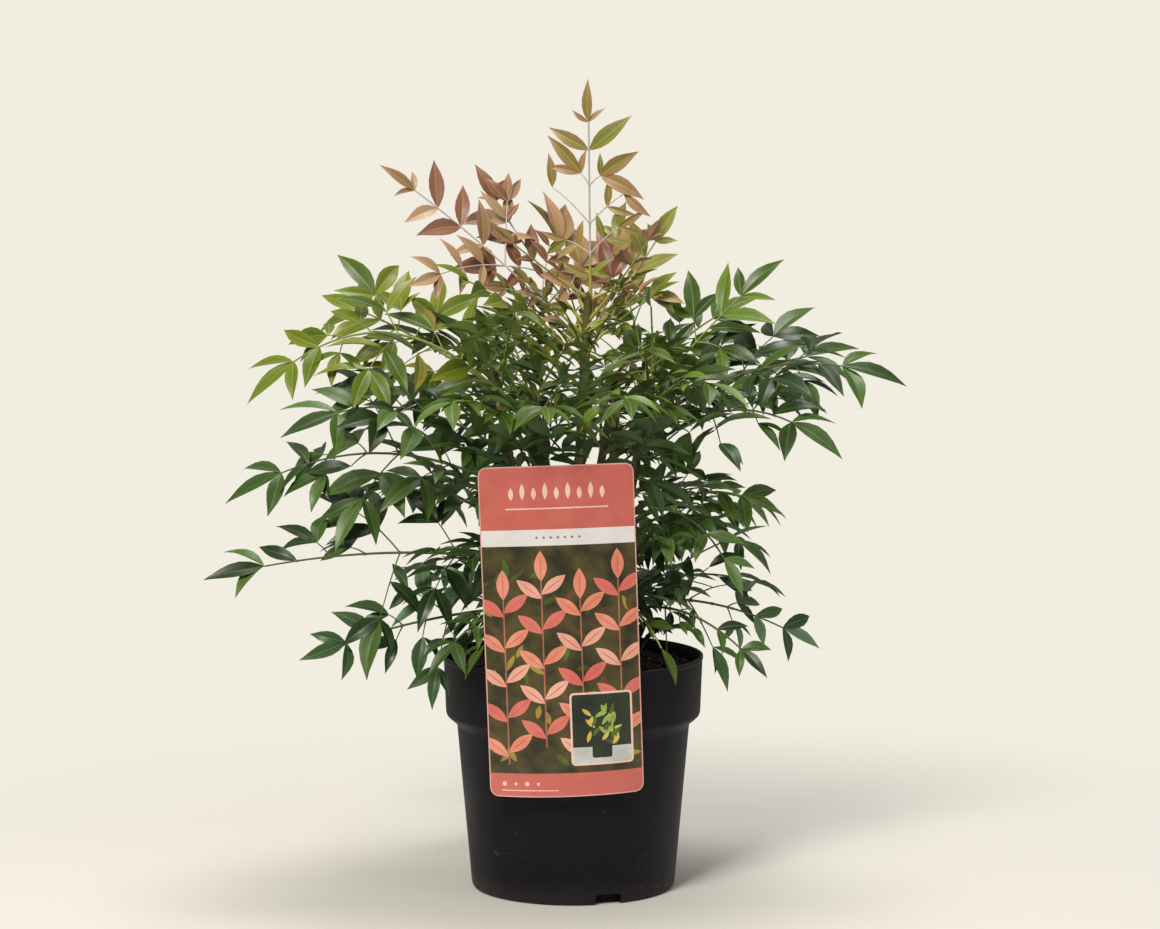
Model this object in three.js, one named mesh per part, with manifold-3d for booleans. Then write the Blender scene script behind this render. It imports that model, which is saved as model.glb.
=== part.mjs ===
// Heavenly bamboo in a black nursery pot. Millimetres, +Z up, front towards -Y.
// The origin is the centre of the pot's flat underside.
import * as THREE from "three";
import { mergeVertices } from "three/addons/utils/BufferGeometryUtils.js";
import Module from "manifold-3d";

const wasm = await Module();
wasm.setup();
const { Manifold, Mesh } = wasm;

// Pot
const RIM_RADIUS = 95;
const RIM_TOP = 171;
const BAND_BOTTOM = 128;
const BAND_RADIUS = 93.2;
const SHOULDER_RADIUS = 85;
const SHOULDER_Z = 121;
const FOOT_RADIUS = 74.2;
const FOOT_CHAMFER = 3;
const POT_WALL = 1.6;
const POT_FLOOR = 2;
const BAND_CHAMFER = 1.5;
const BAND_CHAMFER_RISE = 2.5;
const LIP_HEIGHT = 1.6;
const LIP_STEP = 0.4;
const POT_SIDES = 40;
const NOTCH_WIDTH = 20;
const NOTCH_HEIGHT = 8;
const NOTCH_DEPTH = 18;
const NOTCH_AZIMUTH = 290;
const NOTCHES = 3;

// Soil
const CLEAR = 0.3;
const SOIL_TOP = 160;
const SOIL_EDGE = 161;
const SOIL_FLAT_RADIUS = 48;
const SOIL_FOOT = 8;

// Care label that hangs on the front of the rim
const LABEL_WIDTH = 109;
const LABEL_HEIGHT = 236;
const LABEL_THICKNESS = 0.9;
const LABEL_CORNER = 6;
const LABEL_BOTTOM = 84;
const LABEL_X = -4;
const LABEL_Y = -97;
const LABEL_BOW = 14;
const LABEL_BOW_LOSS = 0.9;
const LABEL_LEAN = 6;
const LABEL_TURN = 2;
const HOOK_WIDTH = 18;
const HOOK_THICKNESS = 1.4;
const HOOK_DROP = 10;
const HOOK_REACH = 9;
const LABEL_COLUMNS = 6;
const LABEL_ROWS = 8;

// Canes
const CANE_FLARE = 1.7;
const CANE_FLARE_HEIGHT = 14;
const CANE_SIDES = 8;
const CANE_STEPS = 6;
const CANE_SWAY = 7;
const CANE_SWAY_TURNS = 3;
const CANE_LEAN_CURVE = 1.25;
const CANE_PROBE_RISE = 6;
const RING_CANES = 6;
const RING_FOOT = 25;
const RING_SPREAD = 58;
const RING_TOPS = [376, 348, 366, 380, 340, 352];
const RING_THICK = 4.5;
const RING_THIN = 2.7;
const LEADER_TOP = 436;
const LEADER_AZIMUTH = 20;
const LEADER_SPREAD = 12;
const LEADER_THICK = 5.2;
const LEADER_THIN = 3;
const LEADER_ABOVE = 380;

// Leaves
const LEAF_LENGTH = 53;
const LEAF_WIDTH = 0.31;
const LEAF_THICKNESS = 1.15;
const LEAF_STATION = 0.4;
const LEAF_FOLD = 0.09;
const LEAF_ARCH = 0.06;
const LEAF_SINK = 1.5;
const LEAF_SIZES = [0.88, 1.08];
const LEAF_TWIST = 28;
const LEAF_SAG = [0.5, 1.3];

// Stalks and side branches of a spray
const STALK_RADIUS = 1.35;
const TWIG_RADIUS = 0.95;
const STALK_ROOT = 0.6;
const STALK_START = 4;
const STALK_STEPS = 4;
const STALK_DROPS = [0, 7, -7, 14, -14, 22, 30];
const STALK_SHIFTS = [0, 4, -4, 8, -8, 12, -12, 17, -17];
const CANE_TIP_ROOM = 4;
const END_SPREAD = [44, 60];
const END_SHARE = 0.86;
const NODE_PLACES = [0.5, 0.78];
const SIDE_SPREAD = [50, 66];
const SIDE_LIFT = [-18, 24];
const SIDE_SAG = 0.4;
const SIDE_SHARE = 0.43;
const SIDE_REACH = [0.88, 1.14];
const SIDE_SHORTEST = 0.45;
const SIDE_LEAF = 0.95;
const TRIPLE_SPREAD = [44, 62];
const TRIPLE_SHARE = 0.84;

// Sprays hang more the lower they are, and small leaves stand above SMALL_ABOVE
const SAG_LEVEL = 400;
const SAG_RANGE = [-0.25, 0.5];
const SMALL_ABOVE = 440;
const SMALL_SCALE = 0.8;

// Room kept round the pieces
const TIP_ROOM = 2;
const GAP = 1.1;
const RIM_ROOM = 1;
const RIM_ROOM_ABOVE = 2;
const LABEL_ROOM = 3;
const LABEL_VIEW = 5;
const ROOM_STEPS = 8;
const SEED = 20260;

// Sprays that give the crown its outline:
// name, azimuth, height on the cane, reach from the axis, tip height, arch, roll, tint
const OUTER_SPRAYS = [
  ["spire", 335, 436, 12, 589, 0, 105, "bronze"],
  ["coral_left", 188, 398, 138, 526, 7, -60, "coral"],
  ["coral_mid_left", 160, 412, 78, 530, -6, -50, "coral"],
  ["coral_centre", 122, 420, 46, 514, -8, 20, "coral"],
  ["bronze_right", 22, 405, 84, 499, -4, 55, "bronze"],
  ["bronze_back", 55, 413, 70, 503, -6, 10, "bronze"],
  ["lime_tip", 186, 366, 241, 351, 48, -40, "lime"],
  ["lime_upper", 168, 366, 216, 427, 6, -45, "lime"],
  ["lime_front", 207, 386, 110, 457, 6, -30, "lime"],
  ["upper_right", 8, 360, 153, 456, 6, 50, "green"],
  ["far_right", 354, 336, 240, 369, 30, 35, "deep"],
  ["right_high", 22, 342, 230, 388, 10, 30, "deep"],
  ["right_mid", 338, 314, 207, 320, 36, 35, "deep"],
  ["left_high", 202, 318, 222, 337, 28, -35, "deep"],
  ["left_mid", 174, 290, 261, 276, 34, -40, "deep"],
  ["left_low", 191, 240, 270, 232, 12, -45, "deep"],
  ["left_bottom", 197, 206, 206, 175, 8, -65, "blue"],
  ["right_lower", 350, 262, 153, 276, 22, 45, "green"],
  ["right_hanging", 330, 246, 145, 212, 46, 40, "deep"],
  ["right_low", 10, 208, 188, 168, 16, 55, "blue"],
  ["right_bottom", 334, 200, 158, 160, 24, 50, "deep"],
  ["front_left", 219, 204, 138, 162, 24, -20, "deep"],
  ["rim_left", 229, 200, 122, 160, 28, 0, "green"],
  ["rim_right", 309, 200, 122, 152, 32, 0, "green"],
];

// The rest stand in tiers round the crown:
// tier, first azimuth, azimuth step, count, height on the cane, reach, tip height, arch, tint
const TIERS = [
  ["low", 38, 35, 4, 202, 196, 190, 22, "blue"],
  ["middle", 46, 36, 4, 252, 226, 266, 30, "deep"],
  ["high", 48, 30, 4, 296, 224, 338, 26, "deep"],
  ["upper", 34, 38, 4, 336, 178, 414, 14, "green"],
  ["front", 226, 29, 4, 318, 172, 362, 28, "green"],
  ["brow", 246, 28, 3, 276, 122, 344, 14, "deep"],
  ["collar", 256, 38, 2, 348, 128, 418, 14, "lime"],
];

// How far the sprays of a tier differ from its row
const TIER_TURN = [-4, 4];
const TIER_RISE = [-12, 12];
const TIER_REACH = [0.92, 1.08];
const TIER_TIP = [-18, 18];
const TIER_ARCH = [0.8, 1.2];
const TIER_ROLL = [-30, 30];

const TINTS = {
  coral: 0xb9685a,
  bronze: 0x8c6a45,
  lime: 0x7f9a3a,
  green: 0x3f6a2c,
  deep: 0x24482a,
  blue: 0x2c5540,
};

const MERGE_DISTANCE = 1e-4;
const SIMPLIFY = 0.02;
const UP = new THREE.Vector3(0, 0, 1);
const radians = THREE.MathUtils.degToRad;

function around(azimuth, radius, z) {
  return new THREE.Vector3(
    radius * Math.cos(radians(azimuth)),
    radius * Math.sin(radians(azimuth)),
    z,
  );
}

// Repeatable random numbers from 0 to 1, one stream for each set of keys.
function streamOf(...keys) {
  let state = SEED;
  const step = (extra) => {
    state = (state * 1664525 + 1013904223 + extra) % 4294967296;
    return state / 4294967296;
  };
  keys.forEach((key) => step(key * 7919));
  step(0);
  return () => step(0);
}

function between(random, low, high) {
  return low + (high - low) * random();
}

function solidOf(geometry) {
  const bare = new THREE.BufferGeometry();
  bare.setAttribute("position", geometry.getAttribute("position"));
  bare.setIndex(geometry.getIndex());
  const merged = mergeVertices(bare, MERGE_DISTANCE);
  const index = merged.getIndex().array;
  const triangles = [];
  for (let i = 0; i < index.length; i += 3) {
    const [a, b, c] = [index[i], index[i + 1], index[i + 2]];
    if (a !== b && b !== c && c !== a) triangles.push(a, b, c);
  }
  return new Manifold(
    new Mesh({
      numProp: 3,
      vertProperties: new Float32Array(merged.getAttribute("position").array),
      triVerts: new Uint32Array(triangles),
    }),
  );
}

function geometryOf(solid) {
  const mesh = solid.getMesh();
  const geometry = new THREE.BufferGeometry();
  const positions = [];
  for (let i = 0; i < mesh.vertProperties.length; i += mesh.numProp) {
    positions.push(...mesh.vertProperties.subarray(i, i + 3));
  }
  geometry.setAttribute("position", new THREE.Float32BufferAttribute(positions, 3));
  geometry.setIndex([...mesh.triVerts]);
  const flat = geometry.toNonIndexed();
  flat.computeVertexNormals();
  return flat;
}

function mapVertices(geometry, move) {
  const position = geometry.getAttribute("position");
  const point = new THREE.Vector3();
  for (let i = 0; i < position.count; i += 1) {
    point.fromBufferAttribute(position, i);
    move(point);
    position.setXYZ(i, point.x, point.y, point.z);
  }
  return geometry;
}

function lathe(profile, sides) {
  const points = profile.map(([r, z]) => new THREE.Vector2(r, z));
  return new THREE.LatheGeometry(points, sides).rotateX(Math.PI / 2);
}

const group = new THREE.Group();
group.name = "heavenly_bamboo";

function add(name, geometry, colour, roughness) {
  const material = new THREE.MeshStandardMaterial({
    color: colour,
    roughness,
    metalness: 0,
  });
  const mesh = new THREE.Mesh(geometry, material);
  mesh.name = name;
  group.add(mesh);
}

// Radius of the pot's outer wall below the shoulder.
function wallRadius(z) {
  return FOOT_RADIUS + ((SHOULDER_RADIUS - FOOT_RADIUS) * z) / SHOULDER_Z;
}

function makePot() {
  const profile = [
    [0, 0],
    [FOOT_RADIUS - FOOT_CHAMFER, 0],
    [wallRadius(FOOT_CHAMFER), FOOT_CHAMFER],
    [SHOULDER_RADIUS, SHOULDER_Z],
    [BAND_RADIUS - BAND_CHAMFER, BAND_BOTTOM],
    [BAND_RADIUS, BAND_BOTTOM + BAND_CHAMFER_RISE],
    [RIM_RADIUS - LIP_STEP, RIM_TOP - LIP_HEIGHT - LIP_STEP],
    [RIM_RADIUS, RIM_TOP - LIP_HEIGHT],
    [RIM_RADIUS, RIM_TOP],
    [RIM_RADIUS - POT_WALL - LIP_STEP, RIM_TOP],
    [BAND_RADIUS - POT_WALL, BAND_BOTTOM + 2 * POT_WALL],
    [SHOULDER_RADIUS - POT_WALL, SHOULDER_Z + POT_WALL],
    [wallRadius(FOOT_CHAMFER) - POT_WALL, FOOT_CHAMFER + POT_WALL],
    [FOOT_RADIUS - FOOT_CHAMFER - POT_WALL, POT_FLOOR],
    [0, POT_FLOOR],
  ];
  let pot = solidOf(lathe(profile, POT_SIDES));
  for (let i = 0; i < NOTCHES; i += 1) {
    const notch = new THREE.BoxGeometry(NOTCH_DEPTH, NOTCH_WIDTH, 2 * NOTCH_HEIGHT);
    notch.translate(FOOT_RADIUS, 0, 0);
    notch.rotateZ(radians(NOTCH_AZIMUTH + (360 / NOTCHES) * i));
    pot = pot.subtract(solidOf(notch));
  }
  return pot;
}

function makeSoil() {
  const inner = (z) => wallRadius(z) - POT_WALL - CLEAR;
  const bandInside = BAND_RADIUS - POT_WALL - 2 * CLEAR;
  const profile = [
    [0, POT_FLOOR + CLEAR],
    [FOOT_RADIUS - 2 * FOOT_CHAMFER, POT_FLOOR + CLEAR],
    [inner(SOIL_FOOT), SOIL_FOOT],
    [inner(SHOULDER_Z), SHOULDER_Z + POT_WALL + CLEAR],
    [bandInside, BAND_BOTTOM + 3 * POT_WALL],
    [bandInside, SOIL_EDGE],
    [SOIL_FLAT_RADIUS, SOIL_TOP],
    [0, SOIL_TOP],
  ];
  return solidOf(lathe(profile, POT_SIDES));
}

// Distance a card's edge is drawn in by its rounded corner, at height z above its bottom.
function cornerInset(z) {
  const reach = LABEL_CORNER - Math.min(z, LABEL_HEIGHT - z);
  if (reach <= 0) return 0;
  return LABEL_CORNER - Math.sqrt(LABEL_CORNER ** 2 - reach ** 2);
}

// Height of a row of the card's corners: two rows round each end off, the rest are even.
function labelRow(row) {
  if (row > LABEL_ROWS / 2) return LABEL_HEIGHT - labelRow(LABEL_ROWS - row);
  if (row < 2) return row * LABEL_CORNER * 0.2;
  const rise = (LABEL_HEIGHT - 2 * LABEL_CORNER) / (LABEL_ROWS - 4);
  return LABEL_CORNER + rise * (row - 2);
}

// The card bows round the pot at its foot and leans forward towards its top.
function makeLabel() {
  const card = new THREE.BoxGeometry(
    LABEL_WIDTH,
    LABEL_THICKNESS,
    LABEL_HEIGHT,
    LABEL_COLUMNS,
    1,
    LABEL_ROWS,
  );
  mapVertices(card, (p) => {
    const z = labelRow(Math.round((p.z / LABEL_HEIGHT + 0.5) * LABEL_ROWS));
    const u = z / LABEL_HEIGHT;
    p.x *= 1 - (2 * cornerInset(z)) / LABEL_WIDTH;
    const bow = LABEL_BOW * (1 - LABEL_BOW_LOSS * u) * ((2 * p.x) / LABEL_WIDTH) ** 2;
    p.y += bow - LABEL_LEAN * u * u;
    p.z = z;
  });
  card.rotateY(radians(-LABEL_TURN));
  card.translate(LABEL_X, LABEL_Y, LABEL_BOTTOM);
  const topY = LABEL_Y + (HOOK_REACH - LABEL_THICKNESS) / 2;
  const topZ = RIM_TOP + CLEAR + HOOK_THICKNESS / 2;
  const top = new THREE.BoxGeometry(HOOK_WIDTH, HOOK_REACH, HOOK_THICKNESS);
  top.translate(LABEL_X, topY, topZ);
  const legY = topY + (HOOK_REACH - HOOK_THICKNESS) / 2;
  const leg = new THREE.BoxGeometry(HOOK_WIDTH, HOOK_THICKNESS, HOOK_DROP);
  leg.translate(LABEL_X, legY, topZ + (HOOK_THICKNESS - HOOK_DROP) / 2);
  return Manifold.union([solidOf(card), solidOf(top), solidOf(leg)]);
}

// Canes: the leader in the middle and a ring that leans outwards
const canes = [
  {
    name: "stem_leader",
    azimuth: LEADER_AZIMUTH,
    foot: 0,
    spread: LEADER_SPREAD,
    top: LEADER_TOP,
    thick: LEADER_THICK,
    thin: LEADER_THIN,
  },
];
for (let i = 0; i < RING_CANES; i += 1) {
  canes.push({
    name: "stem_" + (i + 1),
    azimuth: (360 / RING_CANES) * i,
    foot: RING_FOOT,
    spread: RING_SPREAD,
    top: RING_TOPS[i],
    thick: RING_THICK,
    thin: RING_THIN,
  });
}

function caneShare(cane, z) {
  return (z - SOIL_TOP - CLEAR) / (cane.top - SOIL_TOP - CLEAR);
}

function caneCentre(cane, z) {
  const u = caneShare(cane, z);
  const radius = cane.foot + (cane.spread - cane.foot) * u ** CANE_LEAN_CURVE;
  return around(cane.azimuth + CANE_SWAY * Math.sin(CANE_SWAY_TURNS * u), radius, z);
}

function caneRadius(cane, z) {
  const rise = z - SOIL_TOP - CLEAR;
  const flare = 1 + (CANE_FLARE - 1) * Math.exp(-rise / (CANE_FLARE_HEIGHT / 3));
  return (cane.thick + (cane.thin - cane.thick) * caneShare(cane, z)) * flare;
}

function makeCane(cane, grow) {
  const height = cane.top - SOIL_TOP - CLEAR;
  const rod = new THREE.CylinderGeometry(1, 1, 1, CANE_SIDES, CANE_STEPS);
  rod.rotateX(Math.PI / 2);
  mapVertices(rod, (p) => {
    const share = (p.z + 0.5) ** 1.5;
    const z = SOIL_TOP + CLEAR + (height + grow) * share;
    const centre = caneCentre(cane, z);
    const radius = caneRadius(cane, z) + grow;
    p.set(centre.x + p.x * radius, centre.y + p.y * radius, z);
  });
  return rod;
}

// Everything that has its place already, as small sets of points with a radius.
const placed = [];

function item(points, radius, spray, joint) {
  const centre = new THREE.Vector3();
  points.forEach((p) => centre.addScaledVector(p, 1 / points.length));
  const bound = Math.max(...points.map((p) => p.distanceTo(centre))) + radius;
  return { points, radius, spray, joint, centre, bound };
}

function directions(a, b) {
  const list = [b.centre.clone().sub(a.centre)];
  const edges = [a, b].map(({ points }) => {
    const found = [];
    for (let i = 0; i < points.length; i += 1) {
      for (let j = i + 1; j < points.length; j += 1) {
        found.push(points[j].clone().sub(points[i]));
        for (let k = j + 1; k < points.length; k += 1) {
          const across = points[k].clone().sub(points[i]);
          list.push(points[j].clone().sub(points[i]).cross(across));
        }
      }
    }
    return found;
  });
  edges[0].forEach((e) => edges[1].forEach((f) => list.push(e.clone().cross(f))));
  a.points.forEach((p) => b.points.forEach((q) => list.push(q.clone().sub(p))));
  return list;
}

function apart(a, b, gap) {
  const space = a.radius + b.radius + gap;
  if (a.centre.distanceTo(b.centre) > a.bound + b.bound + gap) return true;
  return directions(a, b).some((direction) => {
    if (direction.lengthSq() < 1e-6) return false;
    direction.normalize();
    const on = (set) => set.points.map((p) => p.dot(direction));
    const [first, second] = [on(a), on(b)];
    return (
      Math.min(...second) - Math.max(...first) > space ||
      Math.min(...first) - Math.max(...second) > space
    );
  });
}

// Space kept free: the pot with what it holds, and the label with the view of it.
function inKeptSpace(p, gap) {
  const overPot = Math.hypot(p.x, p.y) < RIM_RADIUS + RIM_ROOM + gap;
  if (overPot && p.z < RIM_TOP + RIM_ROOM_ABOVE + gap) return true;
  const overLabel = Math.abs(p.x - LABEL_X) < LABEL_WIDTH / 2 + LABEL_ROOM + gap;
  const inFront = p.y < LABEL_Y + LABEL_BOW + LABEL_VIEW + gap;
  return overLabel && inFront && p.z < LABEL_BOTTOM + LABEL_HEIGHT + LABEL_ROOM;
}

function meetsKeptSpace({ points, radius }, gap) {
  for (let i = 0; i < points.length; i += 1) {
    for (let j = i + 1; j < points.length; j += 1) {
      for (let n = 0; n <= ROOM_STEPS; n += 1) {
        const point = points[i].clone().lerp(points[j], n / ROOM_STEPS);
        if (inKeptSpace(point, radius + gap)) return true;
      }
    }
  }
  return false;
}

function free(candidate, gap) {
  if (meetsKeptSpace(candidate, gap)) return false;
  return placed.every((other) => {
    if (other.spray === candidate.spray && other.joint === candidate.joint) return true;
    return apart(candidate, other, other.spray === candidate.spray ? 0 : gap);
  });
}

canes.forEach((cane) => {
  for (let i = 0; i < CANE_STEPS; i += 1) {
    const z = [i, i + 1].map((n) => SOIL_TOP + ((cane.top - SOIL_TOP) * n) / CANE_STEPS);
    const ends = z.map((height) => caneCentre(cane, Math.max(height, SOIL_TOP + CLEAR)));
    placed.push(item(ends, caneRadius(cane, z[0] + CANE_PROBE_RISE), cane.name, "cane"));
  }
});

// The cane a spray grows from: the nearest in the ring, or the leader above it.
function caneFor(azimuth, from) {
  const ring = canes.slice(1).filter((cane) => cane.top > from);
  if (from > LEADER_ABOVE || !ring.length) return canes[0];
  const turn = (cane) => Math.abs(((azimuth - cane.azimuth + 540) % 360) - 180);
  return ring.reduce((best, cane) => (turn(cane) < turn(best) ? cane : best));
}

// The places tried for a stalk: turned round the crown, or lower or higher on its cane.
function* stalkPlaces() {
  for (const drop of STALK_DROPS) {
    for (const shift of STALK_SHIFTS) yield { drop, shift };
  }
}

// The main stalk of a spray, in the first place where it is clear of the others.
function placeStalk(spray) {
  const cane = caneFor(spray.azimuth, spray.from);
  for (const { drop, shift } of stalkPlaces()) {
    const azimuth = spray.azimuth + shift;
    const from = Math.min(spray.from - drop, cane.top - CANE_TIP_ROOM);
    const outwards = around(azimuth, caneRadius(cane, from) * STALK_ROOT, 0);
    const foot = caneCentre(cane, from).add(outwards);
    const tip = around(azimuth, spray.reach, spray.tip);
    const middle = foot.clone().add(tip).multiplyScalar(0.5).addScaledVector(UP, 2 * spray.arch);
    const curve = new THREE.QuadraticBezierCurve3(foot, middle, tip);
    const length = curve.getLength();
    const start = STALK_START / length;
    const end = 1 - (LEAF_LENGTH * spray.scale) / length;
    const pieces = [];
    for (let i = 0; i < STALK_STEPS; i += 1) {
      const ends = [i, i + 1].map((n) => {
        const t = Math.max((end * n) / STALK_STEPS, start);
        return curve.getPoint(t);
      });
      pieces.push(item(ends, STALK_RADIUS, spray.name, "stalk"));
    }
    pieces.push(item([curve.getPoint(end), tip], TIP_ROOM, spray.name, "stalk"));
    const clear = pieces.every((piece, i) => {
      if (meetsKeptSpace(piece, 1)) return false;
      return placed.every((other) => {
        if (i === 0 && other.spray === cane.name) return true;
        return apart(piece, other, GAP);
      });
    });
    if (clear) {
      placed.push(...pieces);
      return { ...spray, azimuth, cane, curve, length, end };
    }
  }
  throw new Error("no room for " + spray.name);
}

function twigSolid(curve, start, end, thick, thin, steps) {
  const rod = new THREE.CylinderGeometry(1, 1, 1, 3, steps);
  mapVertices(rod, (p) => {
    const share = 0.5 - p.y;
    const t = start + (end - start) * share;
    const along = curve.getTangent(t);
    const side = new THREE.Vector3().crossVectors(along, UP);
    if (side.lengthSq() < 1e-3) side.set(1, 0, 0);
    side.normalize();
    const over = new THREE.Vector3().crossVectors(side, along);
    const radius = thick + (thin - thick) * share;
    const centre = curve.getPoint(t);
    p.copy(centre.addScaledVector(side, p.z * radius).addScaledVector(over, p.x * radius));
  });
  return solidOf(rod);
}

// A leaf: base, direction, the way its upper face looks, length.
function leafPoints(base, along, face, length) {
  const side = new THREE.Vector3().crossVectors(face, along).normalize();
  const up = new THREE.Vector3().crossVectors(along, side).normalize();
  const at = (x, y, z) =>
    base.clone().addScaledVector(along, x).addScaledVector(side, y).addScaledVector(up, z);
  const width = (length * LEAF_WIDTH) / 2;
  const lift = length * (LEAF_ARCH + LEAF_FOLD);
  return {
    at,
    outline: [
      at(0, 0, 0),
      at(length * LEAF_STATION, width, lift),
      at(length, 0, 0),
      at(length * LEAF_STATION, -width, lift),
    ],
  };
}

function leafSolid(base, along, face, length) {
  const { at } = leafPoints(base, along, face, length);
  const leaf = new THREE.OctahedronGeometry(1, 0);
  mapVertices(leaf, (p) => {
    let x = length * LEAF_STATION;
    if (p.x > 0.5) x = length;
    if (p.x < -0.5) x = 0;
    const y = (p.y * length * LEAF_WIDTH) / 2;
    const arch = Math.abs(p.x) > 0.5 ? 0 : LEAF_ARCH;
    const z = length * (arch + LEAF_FOLD * Math.abs(p.y)) + (p.z * LEAF_THICKNESS) / 2;
    p.copy(at(x, y, z));
  });
  return solidOf(leaf);
}

function turned(along, axis, degrees) {
  return along.clone().applyAxisAngle(axis, radians(degrees)).normalize();
}

// A leaf of a spray, with its own sag and twist; skipped where it has no room.
function growLeaf(spray, parts, base, along, face, length, joint, random) {
  const size = length * between(random, ...LEAF_SIZES);
  const twist = between(random, -LEAF_TWIST, LEAF_TWIST);
  const sag = spray.sag * between(random, ...LEAF_SAG);
  const towards = along.clone().addScaledVector(UP, -sag).normalize();
  const look = turned(face, towards, twist);
  const { outline } = leafPoints(base, towards, look, size);
  const candidate = item(outline, LEAF_THICKNESS / 2, spray.name, joint);
  if (!free(candidate, GAP)) return;
  placed.push(candidate);
  parts.push(leafSolid(base, towards, look, size));
}

// Three leaves at the end of a twig.
function growTriple(spray, parts, base, along, face, length, joint, random) {
  growLeaf(spray, parts, base, along, face, length, joint, random);
  [-1, 1].forEach((hand) => {
    const out = turned(along, face, hand * between(random, ...TRIPLE_SPREAD));
    growLeaf(spray, parts, base, out, face, length * TRIPLE_SHARE, joint, random);
  });
}

// A side branch: a twig with three leaves at the first joint, one long leaf at the second.
function growSide(spray, parts, node, hand, frame, base) {
  const random = streamOf(spray.number, node, hand + 2);
  const spread = hand * between(random, ...SIDE_SPREAD);
  const lift = Math.sin(radians(between(random, ...SIDE_LIFT)));
  const out = turned(frame.along, frame.face, spread);
  const along = out.addScaledVector(UP, lift - spray.sag * SIDE_SAG).normalize();
  const leaf = LEAF_LENGTH * spray.scale;
  if (node > 0) {
    growLeaf(spray, parts, base, along, frame.face, leaf, "stalk", random);
    return;
  }
  const joint = "side" + hand;
  const reach = spray.length * SIDE_SHARE * between(random, ...SIDE_REACH);
  const end = base.clone().addScaledVector(along, Math.max(reach - leaf, leaf * SIDE_SHORTEST));
  const root = end.clone().addScaledVector(along, -LEAF_SINK);
  const start = base.clone().addScaledVector(along, STALK_START);
  const twig = item([start, end], TWIG_RADIUS, spray.name, joint);
  if (!free({ ...twig, joint: "stalk" }, GAP)) return;
  placed.push(twig);
  parts.push(twigSolid(new THREE.LineCurve3(base, end), 0, 1, TWIG_RADIUS, TWIG_RADIUS, 1));
  growTriple(spray, parts, root, along, frame.face, leaf * SIDE_LEAF, joint, random);
}

function growSpray(spray) {
  const { curve, end } = spray;
  const parts = [twigSolid(curve, 0, end, STALK_RADIUS, TWIG_RADIUS, STALK_STEPS)];
  const frameAt = (t) => {
    const along = curve.getTangent(t);
    const side = around(spray.azimuth + 90, 1, 0);
    const face = new THREE.Vector3().crossVectors(along, side).normalize();
    return { along, face: turned(face, along, spray.roll) };
  };
  const tip = frameAt(end);
  const towards = curve.getPoint(1).sub(curve.getPoint(end)).normalize();
  const root = curve.getPoint(end).addScaledVector(tip.along, -LEAF_SINK);
  const leaf = LEAF_LENGTH * spray.scale;
  const random = streamOf(spray.number, 9, 9);
  const { outline } = leafPoints(root, towards, tip.face, leaf + LEAF_SINK);
  placed.push(item(outline, LEAF_THICKNESS / 2, spray.name, "stalk"));
  parts.push(leafSolid(root, towards, tip.face, leaf + LEAF_SINK));
  [-1, 1].forEach((hand) => {
    const out = turned(towards, tip.face, hand * between(random, ...END_SPREAD));
    growLeaf(spray, parts, root, out, tip.face, leaf * END_SHARE, "stalk", random);
  });
  NODE_PLACES.forEach((place, node) => {
    const t = end * place;
    const base = curve.getPoint(t);
    [-1, 1].forEach((hand) => growSide(spray, parts, node, hand, frameAt(t), base));
  });
  return parts;
}

const sprays = OUTER_SPRAYS.map(([name, azimuth, from, reach, tip, arch, roll, tint]) => ({
  name,
  azimuth,
  from,
  reach,
  tip,
  arch,
  roll,
  tint,
}));
TIERS.forEach(([tier, first, step, count, from, reach, tip, arch, tint], row) => {
  for (let i = 0; i < count; i += 1) {
    const random = streamOf(row, i, 5);
    sprays.push({
      name: tier + "_" + (i + 1),
      azimuth: first + step * i + between(random, ...TIER_TURN),
      from: from + between(random, ...TIER_RISE),
      reach: reach * between(random, ...TIER_REACH),
      tip: tip + between(random, ...TIER_TIP),
      arch: arch * between(random, ...TIER_ARCH),
      roll: between(random, ...TIER_ROLL),
      tint,
    });
  }
});
const stalks = sprays.map((spray, number) => {
  const sag = THREE.MathUtils.clamp((SAG_LEVEL - spray.tip) / SAG_LEVEL, ...SAG_RANGE);
  const scale = spray.tip > SMALL_ABOVE ? SMALL_SCALE : 1;
  return placeStalk({ ...spray, number, sag, scale });
});

add("pot", geometryOf(makePot()), 0x17181a, 0.55);
add("soil", geometryOf(makeSoil()), 0x2c211b, 0.95);
add("plant_label", geometryOf(makeLabel()), 0xd9695c, 0.4);
canes.forEach((cane) => add(cane.name, geometryOf(solidOf(makeCane(cane, 0))), 0x6b5b45, 0.8));
const sleeves = new Map(canes.map((cane) => [cane.name, solidOf(makeCane(cane, CLEAR))]));
stalks.forEach((spray) => {
  const whole = Manifold.union(growSpray(spray)).subtract(sleeves.get(spray.cane.name));
  const bodies = whole.simplify(SIMPLIFY).decompose();
  const largest = bodies.reduce((a, b) => (b.volume() > a.volume() ? b : a));
  add("leaves_" + spray.name, geometryOf(largest), TINTS[spray.tint], 0.5);
});

export default group;
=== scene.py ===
"""Heavenly bamboo in a black nursery pot: its looks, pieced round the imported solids.

Metres, +Z up, front towards -Y, origin at the centre of the pot's flat underside.
The crown grows by the rule of the solids, in millimetres, carried on to finer twigs and leaves.
"""
import math
from collections import namedtuple
from itertools import combinations, product

import bpy
import numpy as np
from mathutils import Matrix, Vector, noise
from mathutils.geometry import delaunay_2d_cdt


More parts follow.
